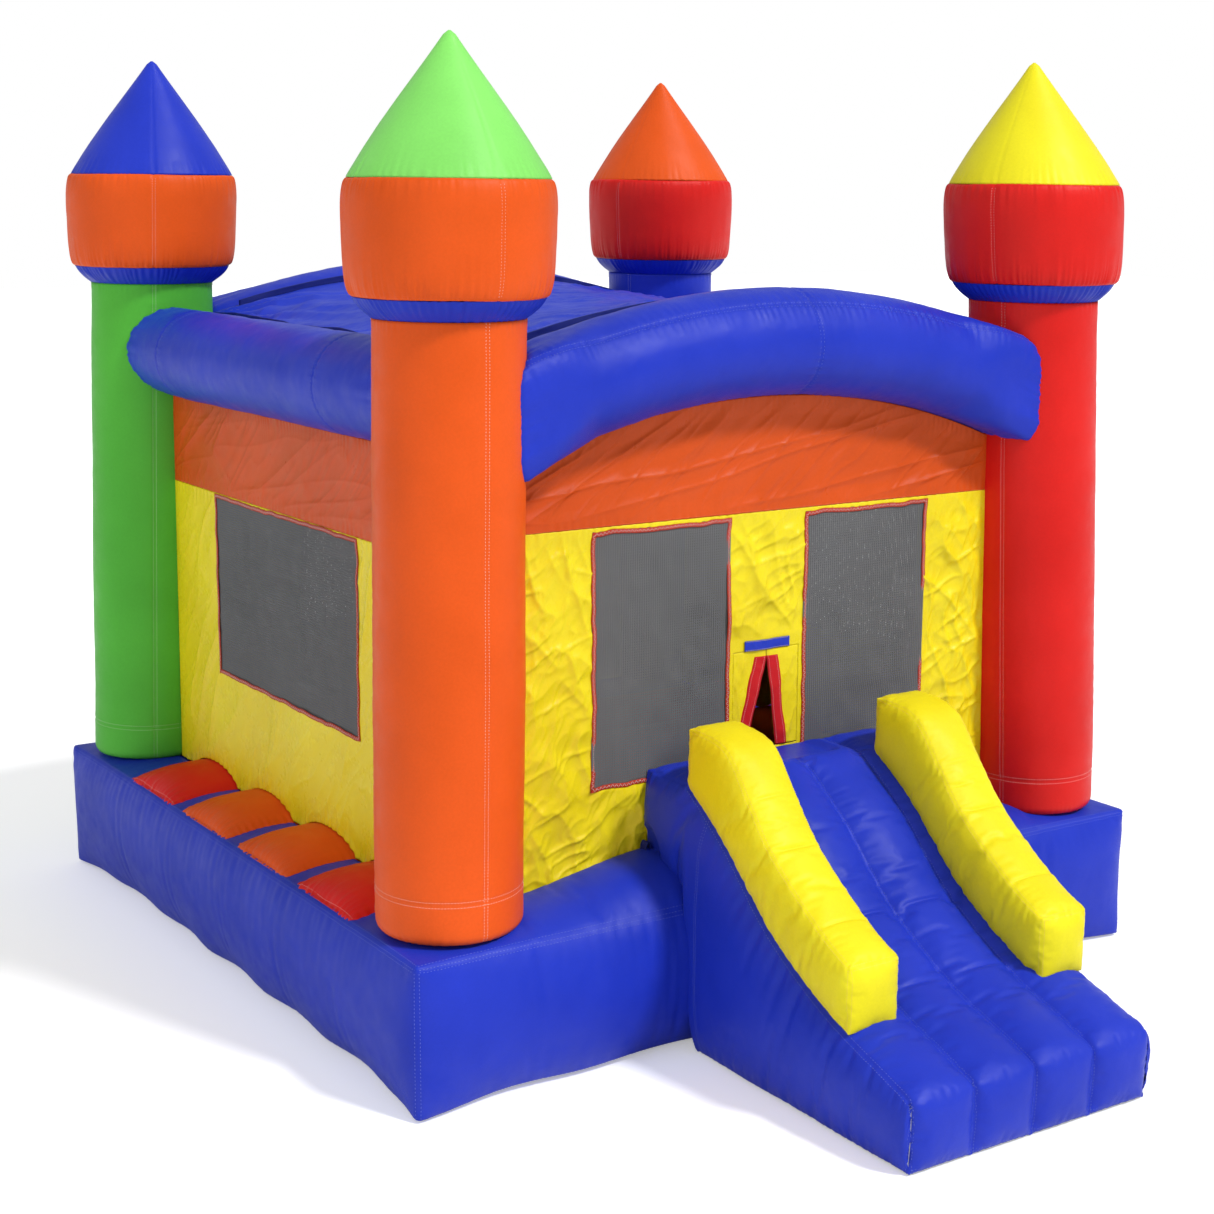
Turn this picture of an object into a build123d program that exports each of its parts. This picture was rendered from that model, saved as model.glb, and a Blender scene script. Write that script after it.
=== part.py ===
from build123d import *
import os
from math import asin, cos, pi, sin

# An inflatable bounce house: a square air-filled base with four round corner towers, four tube
# beams, fabric walls with net windows, a fabric roof, a front slide with side bumpers, and the
# blower and deflation zips behind it. Millimetres. +Z up, +Y from the slide to the back, origin at
# the centre of the base's underside.

# ---- driving dimensions ----
BASE = 3960.0            # side of the square base, 13 ft
BASE_EDGE_Z = 660.0      # top seam of the base's side walls
BASE_TOP_Z = 690.0       # base top under the walls and towers
WALL_Y = 1610.0          # wall planes, from the centre, on all four sides
SKIN = 5.0               # wall of every air chamber
CLOTH = 4.0              # wall fabric panels
GAP = 0.5                # clearance between sewn pieces that meet on curved faces

TOWER_R = 305.0          # tower shaft, 24 in across
TOWER_FOOT = 1650.0      # tower centre at its foot, from the castle's centre
TOWER_NECK = 1585.0      # tower centre at the neck: the towers lean in a little
NECK_Z, BAND_Z, CONE_Z, APEX_Z = 3164.0, 3249.0, 3705.0, 4266.0
BAND_FOOT_R, BAND_R, CONE_R, TIP_R = 384.0, 412.0, 399.0, 14.0

ARCH_R, ARCH_MID_Z, ARCH_END_Z, ARCH_HALF = 235.0, 3020.0, 2785.0, 1300.0
BEAM_R, BEAM_Z, BEAM_X = 220.0, 2830.0, 1600.0

PANEL_PITCH, PANEL_WIDTH, PANEL_CREST, PANEL_SHIFT = 658.0, 602.0, 752.0, -100.0
SILL_Z, SILL_HALF = 800.0, 1330.0

SLIDE_HALF, SLIDE_FRONT, DECK_Z, LIP_Z = 640.0, 3420.0, 1180.0, 310.0
RAIL_INNER, RAIL_BACK = 392.0, 1922.0

SEAM_Z = 2270.0          # joint of the lower and upper wall panels
WINDOW_IN, WINDOW_OUT, WINDOW_LOW, WINDOW_HIGH = 215.0, 922.0, 1130.0, 2245.0
SIDE_WINDOW_HALF, SIDE_WINDOW_LOW, SIDE_WINDOW_HIGH = 772.0, 1265.0, 2155.0
BINDING = 34.0
DOOR_TOP, DOOR_SLIT = 1640.0, 110.0

ROOF_MID_Z, ROOF_END_Z, ROOF_HALF = 3186.0, 2960.0, 1420.0

ZIP_X, ZIP_Z, ZIP_LENGTH, ZIP_TRAVEL = 900.0, 330.0, 640.0, 540.0
SLEEVE_X, SLEEVE_Z, SLEEVE_R, SLEEVE_END = 1250.0, 190.0, 122.0, 2560.0

FAN_Y, FAN_Z, FAN_R, FAN_HALF = 2960.0, 268.0, 182.0, 92.0
SHELL = 5.0              # moulded wall of the blower
IMPELLER_R, IMPELLER_HALF, SHAFT_R = 132.0, 52.0, 7.0

os.makedirs("parts", exist_ok=True)
HALF = BASE / 2


# ---- helpers ----
def save(name, *shapes):
    """Write one sub-part, one solid or a group of separate solids."""
    solids = [s for shape in shapes for s in shape.solids()]
    export_step(solids[0] if len(solids) == 1 else Compound(children=solids), f"parts/{name}.step")


def hollow(make):
    """A sealed air chamber: the outer form less the same form set in by the skin."""
    return make(0.0) - make(SKIN)


def turned(shape, quarter_turns):
    return shape.rotate(Axis.Z, 90.0 * quarter_turns)


def box(x0, x1, y0, y1, z0, z1):
    return Pos((x0 + x1) / 2, (y0 + y1) / 2, (z0 + z1) / 2) * Box(x1 - x0, y1 - y0, z1 - z0)


def side_profile(points, half_width, centre=0.0):
    """A (y, z) outline drawn out along X about centre."""
    outline = Polyline(*[(centre - half_width, y, z) for y, z in points], close=True)
    return extrude(make_face(outline), half_width * 2, dir=(1, 0, 0))


def front_profile(points, y0, y1):
    """An (x, z) outline drawn out along Y."""
    outline = Polyline(*[(x, y0, z) for x, z in points], close=True)
    return extrude(make_face(outline), y1 - y0, dir=(0, 1, 0))


# ---- towers ----
def lean(z):
    """Distance of a tower's centre from the castle's centre planes at height z."""
    return TOWER_FOOT - (z - BASE_TOP_Z) * (TOWER_FOOT - TOWER_NECK) / (NECK_Z - BASE_TOP_Z)


def tower_form(levels, corner, inset, grow=0.0):
    """A stack of level circles (z, radius) centred on one leaning tower."""
    last = len(levels) - 1
    rings = []
    for i, (z, radius) in enumerate(levels):
        z_ring = z + (inset if i == 0 else -inset if i == last else 0.0)
        x, y = corner[0] * lean(z_ring), corner[1] * lean(z_ring)
        rings.append(Pos(x, y, z_ring) * Circle(max(radius - inset, 2.0) + grow))
    return loft(rings, ruled=True)


CORNERS = {"front_left": (-1, -1), "front_right": (1, -1), "back_left": (-1, 1), "back_right": (1, 1)}
SHAFT = [(BASE_TOP_Z, TOWER_R), (NECK_Z, TOWER_R)]
NECK = [(NECK_Z, TOWER_R), (BAND_Z, BAND_FOOT_R)]
BAND = [(BAND_Z, BAND_FOOT_R), (BAND_Z + 60, BAND_R - 4), (BAND_Z + 230, BAND_R), (CONE_Z - 60, BAND_R - 3),
        (CONE_Z, CONE_R)]
CONE = [(CONE_Z, CONE_R), (APEX_Z, TIP_R)]

for corner_name, corner in CORNERS.items():
    for piece, levels in (("shaft", SHAFT), ("band", BAND), ("cone", CONE)):
        save(f"{corner_name}_tower_{piece}", hollow(lambda inset: tower_form(levels, corner, inset)))
save("tower_necks", *[hollow(lambda inset: tower_form(NECK, c, inset)) for c in CORNERS.values()])


def shafts(grow):
    return [tower_form([(BASE_TOP_Z - 5, TOWER_R), (NECK_Z, TOWER_R)], c, 0.0, grow)
            for c in CORNERS.values()]


def clear_of_towers(shape, extra=0.0):
    for shaft in shafts(GAP + extra):
        shape = shape - shaft
    return shape


# ---- base ----
def base_form(inset):
    """Upright sides and a top that rises gently from the edge seam to the walls."""
    outer, inner = HALF - inset, WALL_Y - inset
    sides = box(-outer, outer, -outer, outer, inset, BASE_EDGE_Z - inset)
    top = loft([Pos(0, 0, BASE_EDGE_Z - inset) * Rectangle(2 * outer, 2 * outer),
                Pos(0, 0, BASE_TOP_Z - inset) * Rectangle(2 * inner, 2 * inner)], ruled=True)
    return sides + top


def base_baffles():
    """Internal fabric webs that hold the floor flat, stopping short of the side walls for airflow."""
    count, end_gap, air_gap = 5, 330.0, 40.0
    webs = []
    for i in range(count):
        y = PANEL_SHIFT + (i - (count - 1) / 2) * PANEL_PITCH
        webs.append(box(-HALF + end_gap, HALF - end_gap, y - SKIN / 2, y + SKIN / 2, SKIN + air_gap,
                        BASE_EDGE_Z - SKIN - air_gap))
    return webs


save("base_chamber", hollow(base_form))
save("base_baffles", *base_baffles())


def floor_panel(centre_y, inset):
    """One bulged strip of the bounce floor, from side seam to side seam, lying on the base."""
    low, crest, half = BASE_EDGE_Z - 25, PANEL_CREST - inset, PANEL_WIDTH / 2 - inset
    arc = ThreePointArc((0, centre_y - half, low), (0, centre_y, crest), (0, centre_y + half, low))
    face = make_face([arc, Line(arc @ 1, arc @ 0)])
    bulge = extrude(face, HALF + 5, both=True, dir=(1, 0, 0))
    end, fall = HALF - 22 - inset, 210.0
    cap = front_profile([(-end, 0), (end, 0), (end, BASE_EDGE_Z + 8), (end - fall, PANEL_CREST + 4 - inset),
                         (fall - end, PANEL_CREST + 4 - inset), (-end, BASE_EDGE_Z + 8)],
                        centre_y - half - 5, centre_y + half + 5)
    return (bulge & cap) - base_form(0.0).translate((0, 0, inset))


PANEL_CENTRES = [PANEL_SHIFT + (i - 1.5) * PANEL_PITCH for i in range(4)]
PANELS = [hollow(lambda inset: floor_panel(y, inset)) for y in PANEL_CENTRES]
save("red_floor_panels", PANELS[0], PANELS[3])
save("orange_floor_panels", PANELS[1], PANELS[2])
PANELS_GROWN = [floor_panel(y, 0.0).translate((0, 0, GAP)) + floor_panel(y, 0.0) for y in PANEL_CENTRES]


def front_sill(side, inset):
    """The blue swell of the base's top in front of the wall, one side of the slide."""
    x0, x1 = SLIDE_HALF + GAP + inset, SILL_HALF - inset
    back, front = WALL_Y + CLOTH / 2 + GAP + inset, HALF - 12 - inset
    rise = box(x0, x1, -front, -back, BASE_EDGE_Z - 20, SILL_Z - inset)
    slope = side_profile([(-front, 0), (-front, BASE_EDGE_Z + 6), (-back, SILL_Z - inset), (-back, 0)], 2000)
    hip = front_profile([(0, 0), (0, SILL_Z - inset), (SLIDE_HALF + 330, SILL_Z - inset),
                         (SILL_HALF - inset, BASE_TOP_Z + 14), (SILL_HALF - inset, 0)], -HALF - 10, 0)
    form = (rise & slope & hip) - base_form(0.0).translate((0, 0, inset))
    for shaft in shafts(GAP + inset):
        form = form - shaft
    return form if side > 0 else form.mirror(Plane.YZ)


save("front_sills", *[hollow(lambda inset: front_sill(side, inset)) for side in (-1, 1)])


# ---- arches, beams and roof ----
def camber(mid_z, end_z, half, y):
    return ThreePointArc((-half, y, end_z), (0, y, mid_z), (half, y, end_z))


ARCH_RISE = ARCH_MID_Z - ARCH_END_Z
ARCH_CURVE_R = (ARCH_HALF ** 2 + ARCH_RISE ** 2) / (2 * ARCH_RISE)


def arch_line(offset, y):
    """The arch's centre line, moved out from its own centre of curvature by offset."""
    radius, turn = ARCH_CURVE_R + offset, asin((ARCH_HALF + 130) / ARCH_CURVE_R)
    centre_z = ARCH_MID_Z - ARCH_CURVE_R
    return camber(centre_z + radius, centre_z + radius * cos(turn), radius * sin(turn), y)


def tube(path, radius):
    start = Plane(origin=path @ 0, z_dir=path % 0)
    return sweep(start * Circle(radius), path=path)


def mitre(inset):
    """The quarter of the plan that the front arch keeps, between the two diagonals."""
    reach, shift = 2300.0, 4.0 + inset
    return extrude(make_face(Polyline((0, -shift, 2000), (-reach, -reach - shift, 2000),
                                      (reach, -reach - shift, 2000), close=True)), 1500, dir=(0, 0, 1))


def arch_form(inset):
    return clear_of_towers(tube(arch_line(0.0, -WALL_Y), ARCH_R - inset) & mitre(inset), inset)


def beam_form(inset):
    half = 1430.0
    line = Line((-half, -BEAM_X, BEAM_Z), (half, -BEAM_X, BEAM_Z))
    return clear_of_towers(tube(line, BEAM_R - inset) & mitre(inset), inset)


def largest(shape):
    return max(shape.solids(), key=lambda s: s.volume)


ARCH, ARCH_AIR = largest(arch_form(0.0)), largest(arch_form(SKIN))
BEAM, BEAM_AIR = largest(beam_form(0.0)), largest(beam_form(SKIN))
save("front_arch", ARCH - ARCH_AIR)
save("back_arch", turned(ARCH - ARCH_AIR, 2))
save("right_beam", turned(BEAM - BEAM_AIR, 1))
save("left_beam", turned(BEAM - BEAM_AIR, 3))


def arc_band(z_shift, height, y0, y1, half):
    """A strip that follows the roof's camber, height tall, from y0 to y1."""
    low = camber(ROOF_MID_Z + z_shift, ROOF_END_Z + z_shift, half, y0)
    high = camber(ROOF_MID_Z + z_shift + height, ROOF_END_Z + z_shift + height, half, y0)
    face = make_face([low, Line(low @ 1, high @ 1), high, Line(high @ 0, low @ 0)])
    return extrude(face, y1 - y0, dir=(0, 1, 0))


def roof_form():
    sheet = arc_band(0.0, CLOTH, -1500.0, 1500.0, ROOF_HALF)
    arch = tube(arch_line(0.0, -WALL_Y), ARCH_R + GAP)
    beam = tube(Line((-1700, -BEAM_X, BEAM_Z), (1700, -BEAM_X, BEAM_Z)), BEAM_R + GAP)
    for cutter in (arch, turned(arch, 2), turned(beam, 1), turned(beam, 3)):
        sheet = largest(sheet - cutter)
    return largest(clear_of_towers(sheet))


def roof_hems():
    """Upstanding bound edges of the roof, one along each beam and arch."""
    stand, thick, end = 62.0, 6.0, 1180.0
    z0 = ROOF_END_Z + CLOTH + GAP
    side = box(ROOF_HALF - 14, ROOF_HALF - 14 + thick, -end, end, z0 + 6, z0 + 6 + stand)
    front = arc_band(CLOTH + GAP, 32.0, -1431.0, -1431.0 + thick, ROOF_HALF)
    front = front & box(-end, end, -1500, 0, 2900, 3400)
    return [side, side.mirror(Plane.YZ), front, front.mirror(Plane.XZ)]


save("roof_sheet", roof_form())
save("roof_hems", *roof_hems())


# ---- walls, windows and nets ----
def wall_outline(y0, y1, z0, z1, arched):
    """A flat wall panel on the front plane, its top under the arch or the beam, ends at the towers."""
    reach = 1500.0
    panel = box(-reach, reach, y0, y1, z0, z1)
    if arched:
        curve = arch_line(-ARCH_R - GAP, y0 - 5)
        left, right = (curve @ 0).X, (curve @ 1).X
        corners = [curve @ 1, (right, y0 - 5, 600), (left, y0 - 5, 600), curve @ 0]
        under = make_face([curve] + [Line(a, b) for a, b in zip(corners, corners[1:])])
        panel = panel & extrude(under, 40, dir=(0, 1, 0))
    return clear_of_towers(panel)


FRONT = (-WALL_Y - CLOTH / 2, -WALL_Y + CLOTH / 2)
SIDE_TOP = BEAM_Z - BEAM_R - GAP


def hole(x0, x1, z0, z1):
    return box(x0, x1, -WALL_Y - 30, -WALL_Y + 30, z0, z1)


def doorway():
    """The strip between the front windows that the two entrance flaps fill."""
    return hole(-WINDOW_IN + 30, WINDOW_IN - 30, DECK_Z + 6, DOOR_TOP)


def net(x0, x1, z0, z1):
    return box(x0 + GAP, x1 - GAP, -WALL_Y - 1, -WALL_Y + 1, z0 + GAP, z1 - GAP)


def binding(x0, x1, z0, z1):
    """A stitched tape frame around a window, on the outer face of the wall."""
    y1 = FRONT[0] - 0.2
    outer = box(x0 - BINDING / 2, x1 + BINDING / 2, y1 - 3, y1, z0 - BINDING / 2, z1 + BINDING / 2 - 4)
    return outer - hole(x0 + BINDING / 2, x1 - BINDING / 2, z0 + BINDING / 2, z1 - BINDING / 2)


FRONT_WINDOWS = [(-WINDOW_OUT, -WINDOW_IN, WINDOW_LOW, WINDOW_HIGH),
                 (WINDOW_IN, WINDOW_OUT, WINDOW_LOW, WINDOW_HIGH)]
SIDE_WINDOW = (-SIDE_WINDOW_HALF, SIDE_WINDOW_HALF, SIDE_WINDOW_LOW, SIDE_WINDOW_HIGH)

lower = wall_outline(*FRONT, BASE_TOP_Z, SEAM_Z, False) - doorway()
for window in FRONT_WINDOWS:
    lower = lower - hole(*window)
save("front_wall_lower", lower)
save("front_wall_upper", wall_outline(*FRONT, SEAM_Z, ARCH_MID_Z, True))
window_nets = [net(*w) for w in FRONT_WINDOWS]
window_bindings = [binding(*w) for w in FRONT_WINDOWS]

plain_lower = wall_outline(*FRONT, BASE_TOP_Z, SEAM_Z - 100, False) - hole(*SIDE_WINDOW)
for wall_name, turns, top, arched in (("back", 2, ARCH_MID_Z, True), ("right", 1, SIDE_TOP, False),
                                      ("left", 3, SIDE_TOP, False)):
    lower_panel = turned(plain_lower, turns)
    for panel in PANELS_GROWN:
        lower_panel = lower_panel - panel
    save(f"{wall_name}_wall_lower", largest(lower_panel))
    save(f"{wall_name}_wall_upper", turned(wall_outline(*FRONT, SEAM_Z - 100, top, arched), turns))
    window_nets.append(turned(net(*SIDE_WINDOW), turns))
    window_bindings.append(turned(binding(*SIDE_WINDOW), turns))
save("window_nets", *window_nets)
save("window_bindings", *window_bindings)


# ---- entrance ----
def entrance_flap(side):
    """One half of the split entrance curtain, hung from its outer edge, its free edge slanting."""
    outer, top, bottom = WINDOW_IN - 30 - 2, DOOR_TOP - 2, DECK_Z + 10
    flap = front_profile([(outer, bottom), (outer, top), (2, top), (2, top - 30), (DOOR_SLIT, bottom)],
                         -WALL_Y - CLOTH / 2, -WALL_Y + CLOTH / 2)
    return flap if side > 0 else flap.mirror(Plane.YZ)


def flap_edging(side):
    """A red reinforcing tape along the free edge of a flap, sewn to its outer face."""
    top, bottom, wide, face = DOOR_TOP - 32, DECK_Z + 10, 64.0, -WALL_Y - CLOTH / 2
    tape = front_profile([(DOOR_SLIT, bottom), (DOOR_SLIT + wide, bottom), (2 + wide, top), (2, top)],
                         face - 3, face)
    return tape if side > 0 else tape.mirror(Plane.YZ)


for flap_name, side in (("left", -1), ("right", 1)):
    save(f"entrance_flap_{flap_name}", entrance_flap(side))
    save(f"entrance_edging_{flap_name}", flap_edging(side))
save("entrance_patch", box(-125, 125, FRONT[0] - 3.2, FRONT[0], DOOR_TOP + 4, DOOR_TOP + 50))


# ---- slide ----
def slide_curve(shift, x):
    """The sliding surface from the deck edge down to the foot, as one smooth curve in (y, z)."""
    points = [(-1910, DECK_Z), (-2200, 985), (-2510, 705), (-2880, 492), (-3280, 352)]
    return Spline(*[(x, y, z + shift) for y, z in points])


def slide_form(inset, grow=0.0):
    shift = grow - inset
    x, front = -SLIDE_HALF + inset, -SLIDE_FRONT + inset
    back, rest = -WALL_Y - CLOTH / 2 - 3.2 - GAP - inset, -HALF - inset
    curve = slide_curve(shift, x)
    lip = (x, front, LIP_Z + shift)
    path = [(x, front, inset), (x, rest, inset), (x, rest, BASE_EDGE_Z + inset)]
    slope_z = BASE_EDGE_Z + (HALF + back) * (BASE_TOP_Z - BASE_EDGE_Z) / (HALF - WALL_Y) + inset
    path += [(x, back, slope_z), (x, back, DECK_Z + shift), curve @ 0]
    edges = [Line(a, b) for a, b in zip(path, path[1:])]
    edges += [curve, Line(curve @ 1, lip), Line(lip, path[0])]
    return extrude(make_face(edges), 2 * (SLIDE_HALF - inset), dir=(1, 0, 0))


save("slide_chamber", hollow(slide_form))


def rail_form(inset):
    """One side bumper: a fat tube that lies on the slide's edge and ends in a flat nose."""
    front, back = -3030.0 + inset, -RAIL_BACK - inset
    top = [(back, 1435 - inset), (-2200, 1392 - inset), (-2510, 1032 - inset), (-2840, 802 - inset),
           (front, 716 - inset)]
    block = side_profile(top + [(front, 400), (back, 1000)], (SLIDE_HALF - RAIL_INNER) / 2 - inset,
                         (SLIDE_HALF + RAIL_INNER) / 2)
    return largest(block - slide_form(0.0, GAP + inset))


RAIL = rail_form(0.0) - rail_form(SKIN)
save("slide_rail_right", RAIL)
save("slide_rail_left", RAIL.mirror(Plane.YZ))


# ---- tie-down loops ----
def webbing_loop():
    """A strap folded into a flat loop, standing on its stitched patch, mouth along X."""
    wide, thick, tall, deep = 45.0, 3.0, 70.0, 34.0
    loop = box(0, wide, -deep / 2, deep / 2, 0, tall)
    return loop - box(-1, wide + 1, -deep / 2 + thick, deep / 2 - thick, thick, tall - thick)


def back_loops():
    """Two loops at the foot of the base's back, for the stakes."""
    return [webbing_loop().translate((x - 22, HALF + 17, 40)) for x in (-1650, 350)]


slide_loop = webbing_loop().rotate(Axis.Z, 90).translate((-SLIDE_HALF - 30, -1672, SILL_Z - 4))
save("tie_down_loops", *back_loops(), slide_loop, slide_loop.mirror(Plane.YZ))


# ---- deflation zips, on the back of the base ----
def closed_zip(x):
    """One straight zip along X on the back face: its tape with the closed teeth down its middle."""
    tape = box(x - ZIP_LENGTH / 2, x + ZIP_LENGTH / 2, HALF, HALF + 2, ZIP_Z - 22, ZIP_Z + 22)
    teeth = box(x - ZIP_LENGTH / 2 + 14, x + ZIP_LENGTH / 2 - 14, HALF + 2, HALF + 5, ZIP_Z - 3, ZIP_Z + 3)
    return tape + teeth


def zip_slider(x):
    """A slider that rides the teeth on a groove, with its pull tab hanging from a bail."""
    y0 = HALF + 2.5
    body = box(x - 11, x + 11, y0, y0 + 9, ZIP_Z - 9, ZIP_Z + 9)
    body = body - box(x - 12, x + 12, y0 - 1, y0 + 3.2, ZIP_Z - 3.6, ZIP_Z + 3.6)
    tab = box(x - 4, x + 4, y0 + 9, y0 + 12, ZIP_Z - 44, ZIP_Z + 6)
    return body + tab


def zip_cover(x):
    """A storm flap sewn above the zip, standing off it so that the slider runs beneath."""
    y0, y1, half = HALF, HALF + 24.0, ZIP_LENGTH / 2 + 20
    hem = box(x - half, x + half, y0, y1, ZIP_Z + 60, ZIP_Z + 63)
    return hem + box(x - half, x + half, y1 - 3, y1, ZIP_Z - 30, ZIP_Z + 63)


ZIPS = (-ZIP_X, 0.0)
save("deflation_zips", *[closed_zip(x) for x in ZIPS])
save("zip_covers", *[zip_cover(x) for x in ZIPS])
for zip_name, x in zip(("left", "right"), ZIPS):
    save(f"zip_slider_{zip_name}", zip_slider(x - ZIP_TRAVEL / 2))


# ---- inflation sleeve ----
def ring_y(radius, wall, y0, y1, z=SLEEVE_Z, x=SLEEVE_X):
    turn = Rot(-90, 0, 0)
    tube_solid = Cylinder(radius, y1 - y0, align=(Align.CENTER, Align.CENTER, Align.MIN))
    bore = Pos(0, 0, -1) * Cylinder(radius - wall, y1 - y0 + 2, align=(Align.CENTER, Align.CENTER, Align.MIN))
    return Pos(x, y0, z) * (turn * (tube_solid - bore))


save("inflation_sleeve", ring_y(SLEEVE_R, 3.0, HALF, SLEEVE_END))
save("sleeve_strap", ring_y(SLEEVE_R + 3.2, 3.0, SLEEVE_END - 70, SLEEVE_END - 32)
     + box(SLEEVE_X - 14, SLEEVE_X + 14, SLEEVE_END - 72, SLEEVE_END - 30, SLEEVE_Z + SLEEVE_R + 2,
           SLEEVE_Z + SLEEVE_R + 12))


# ---- blower: a scroll housing in two halves around a centrifugal impeller, axis along X ----
def x_cylinder(radius, x0, x1, y=FAN_Y, z=FAN_Z):
    body = Cylinder(radius, x1 - x0, align=(Align.CENTER, Align.CENTER, Align.MIN))
    return Pos(x0, y, z) * (Rot(0, 90, 0) * body)


def scroll(radius, half, wall):
    """The round fan chamber with its duct leading forward along the bottom."""
    chamber = x_cylinder(radius, SLEEVE_X - half, SLEEVE_X + half)
    duct_top, duct_low = FAN_Z + 20 - wall, FAN_Z - FAN_R + wall
    duct = box(SLEEVE_X - half, SLEEVE_X + half, FAN_Y - FAN_R - 60, FAN_Y, duct_low, duct_top)
    return chamber + duct


def blower_shell():
    outer = scroll(FAN_R, FAN_HALF, 0.0)
    front = FAN_Y - FAN_R - 60
    inner = scroll(FAN_R - SHELL, FAN_HALF - SHELL, SHELL)
    mouth = ring_y(DUCT_R, DUCT_R - 0.01, front - 20, front + 60, DUCT_Z)
    inlet = x_cylinder(INLET_R, SLEEVE_X - FAN_HALF - 5, SLEEVE_X - FAN_HALF + 20)
    motor_hole = x_cylinder(SHAFT_R + 3, SLEEVE_X + FAN_HALF - 20, SLEEVE_X + FAN_HALF + 5)
    return outer - inner - mouth - inlet - motor_hole


DUCT_Z, DUCT_R, INLET_R = FAN_Z - 78.0, 84.0, 96.0
shell = blower_shell()
seam = box(SLEEVE_X, SLEEVE_X + 400, 2000, 4000, 0, 1000)
save("blower_housing_left", largest(shell - seam))
save("blower_housing_right", largest(shell & seam))

front_face = FAN_Y - FAN_R - 60
nozzle = ring_y(SLEEVE_R - 3.6, 5.0, SLEEVE_END - 110, front_face)
flange = ring_y(SLEEVE_R - 3.6, SLEEVE_R - 3.6 - DUCT_R, front_face - 6, front_face)
save("blower_nozzle", nozzle + flange)


def grille():
    """A guard of concentric rings on four spokes over the air inlet."""
    x1 = SLEEVE_X - FAN_HALF
    rim = x_cylinder(INLET_R + 10, x1 - 6, x1) - x_cylinder(INLET_R, x1 - 7, x1 + 1)
    for radius in (30.0, 52.0, 74.0):
        rim = rim + (x_cylinder(radius, x1 - 5, x1 - 2) - x_cylinder(radius - 4, x1 - 6, x1))
    for angle in (0, 45, 90, 135):
        spoke = box(x1 - 5, x1 - 2, -INLET_R - 2, INLET_R + 2, -2.5, 2.5)
        rim = rim + Pos(0, FAN_Y, FAN_Z) * (Rot(angle, 0, 0) * spoke)
    return rim


save("blower_grille", grille())


def impeller():
    """A squirrel-cage wheel: a back plate and hub, a front ring and thirty blades."""
    left, right = SLEEVE_X - IMPELLER_HALF, SLEEVE_X + IMPELLER_HALF
    wheel = x_cylinder(IMPELLER_R, right - 4, right) + x_cylinder(22, right - 30, right)
    wheel = wheel + (x_cylinder(IMPELLER_R, left, left + 4) - x_cylinder(IMPELLER_R - 26, left - 1, left + 5))
    count = 30
    for i in range(count):
        blade = Rot(i * 360 / count, 0, 0) * (Pos(0, 0, IMPELLER_R - 12) * (Rot(28, 0, 0) * Box(
            2 * IMPELLER_HALF - 2, 2.5, 20)))
        wheel = wheel + Pos(SLEEVE_X, FAN_Y, FAN_Z) * blade
    shaft = x_cylinder(SHAFT_R, right, SLEEVE_X + FAN_HALF + 8)
    return wheel + shaft


save("blower_impeller", impeller())

MOTOR_X = SLEEVE_X + FAN_HALF
motor = x_cylinder(78, MOTOR_X, MOTOR_X + 96) - x_cylinder(SHAFT_R + 3, MOTOR_X - 1, MOTOR_X + 14)
for i in range(24):
    fin = Rot(i * 15, 0, 0) * (Pos(48, 0, 79) * Box(76, 3, 8))
    motor = motor + Pos(MOTOR_X, FAN_Y, FAN_Z) * fin
save("blower_motor", motor)


def blower_foot(x):
    return box(x - 13, x + 13, FAN_Y - 190, FAN_Y + 170, 0, 30) - x_cylinder(FAN_R + GAP, x - 20, x + 20)


def blower_stand():
    """Two moulded skids joined by a cross plate under the fan chamber."""
    low = FAN_Z - FAN_R
    plate = box(SLEEVE_X - FAN_HALF, SLEEVE_X + FAN_HALF, FAN_Y - 150, FAN_Y + 150, 30, low - GAP - 20)
    skids = [blower_foot(SLEEVE_X - FAN_HALF + 13), blower_foot(SLEEVE_X + FAN_HALF - 13)]
    cradle = box(SLEEVE_X - 60, SLEEVE_X + 60, FAN_Y - 120, FAN_Y + 50, low - GAP - 21, low - GAP)
    return plate + skids[0] + skids[1] + cradle


save("blower_stand", blower_stand())


def handle():
    """A carrying handle bridging the top of the housing."""
    top = FAN_Z + FAN_R
    grip = box(SLEEVE_X - 14, SLEEVE_X + 14, FAN_Y - 70, FAN_Y + 70, top + 40, top + 60)
    for y in (FAN_Y - 62, FAN_Y + 62):
        grip = grip + box(SLEEVE_X - 14, SLEEVE_X + 14, y - 8, y + 8, top - 40, top + 45)
    return grip - x_cylinder(FAN_R + GAP, SLEEVE_X - 200, SLEEVE_X + 200)


save("blower_handle", handle())

BOX_TOP = FAN_Z + 108.0
switch_box = box(MOTOR_X, MOTOR_X + 60, FAN_Y - 45, FAN_Y + 45, FAN_Z + 84, BOX_TOP)
switch_box = switch_box - box(MOTOR_X + 14, MOTOR_X + 46, FAN_Y - 17, FAN_Y + 17, BOX_TOP - 14, BOX_TOP + 1)
save("switch_box", switch_box)
rocker = Pos(MOTOR_X + 30, FAN_Y, BOX_TOP - 3) * Box(30, 26, 10)
rocker = rocker - Pos(MOTOR_X + 30, FAN_Y, BOX_TOP + 12) * (Rot(0, 90, 0) * Cylinder(16, 40))
save("power_rocker", rocker)

screws = []
for i in range(6):
    a = 2 * pi * (i + 0.5) / 6
    y, z = FAN_Y + (INLET_R + 5) * cos(a), FAN_Z + (INLET_R + 5) * sin(a)
    screws.append(x_cylinder(3.5, SLEEVE_X - FAN_HALF - 8.5, SLEEVE_X - FAN_HALF - 6, y, z))
save("grille_screws", *screws)
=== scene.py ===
from math import cos, pi, radians, sin

import bmesh
import bpy
import numpy as np
from mathutils import Matrix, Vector
from mathutils.bvhtree import BVHTree
from mathutils.kdtree import KDTree


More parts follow.
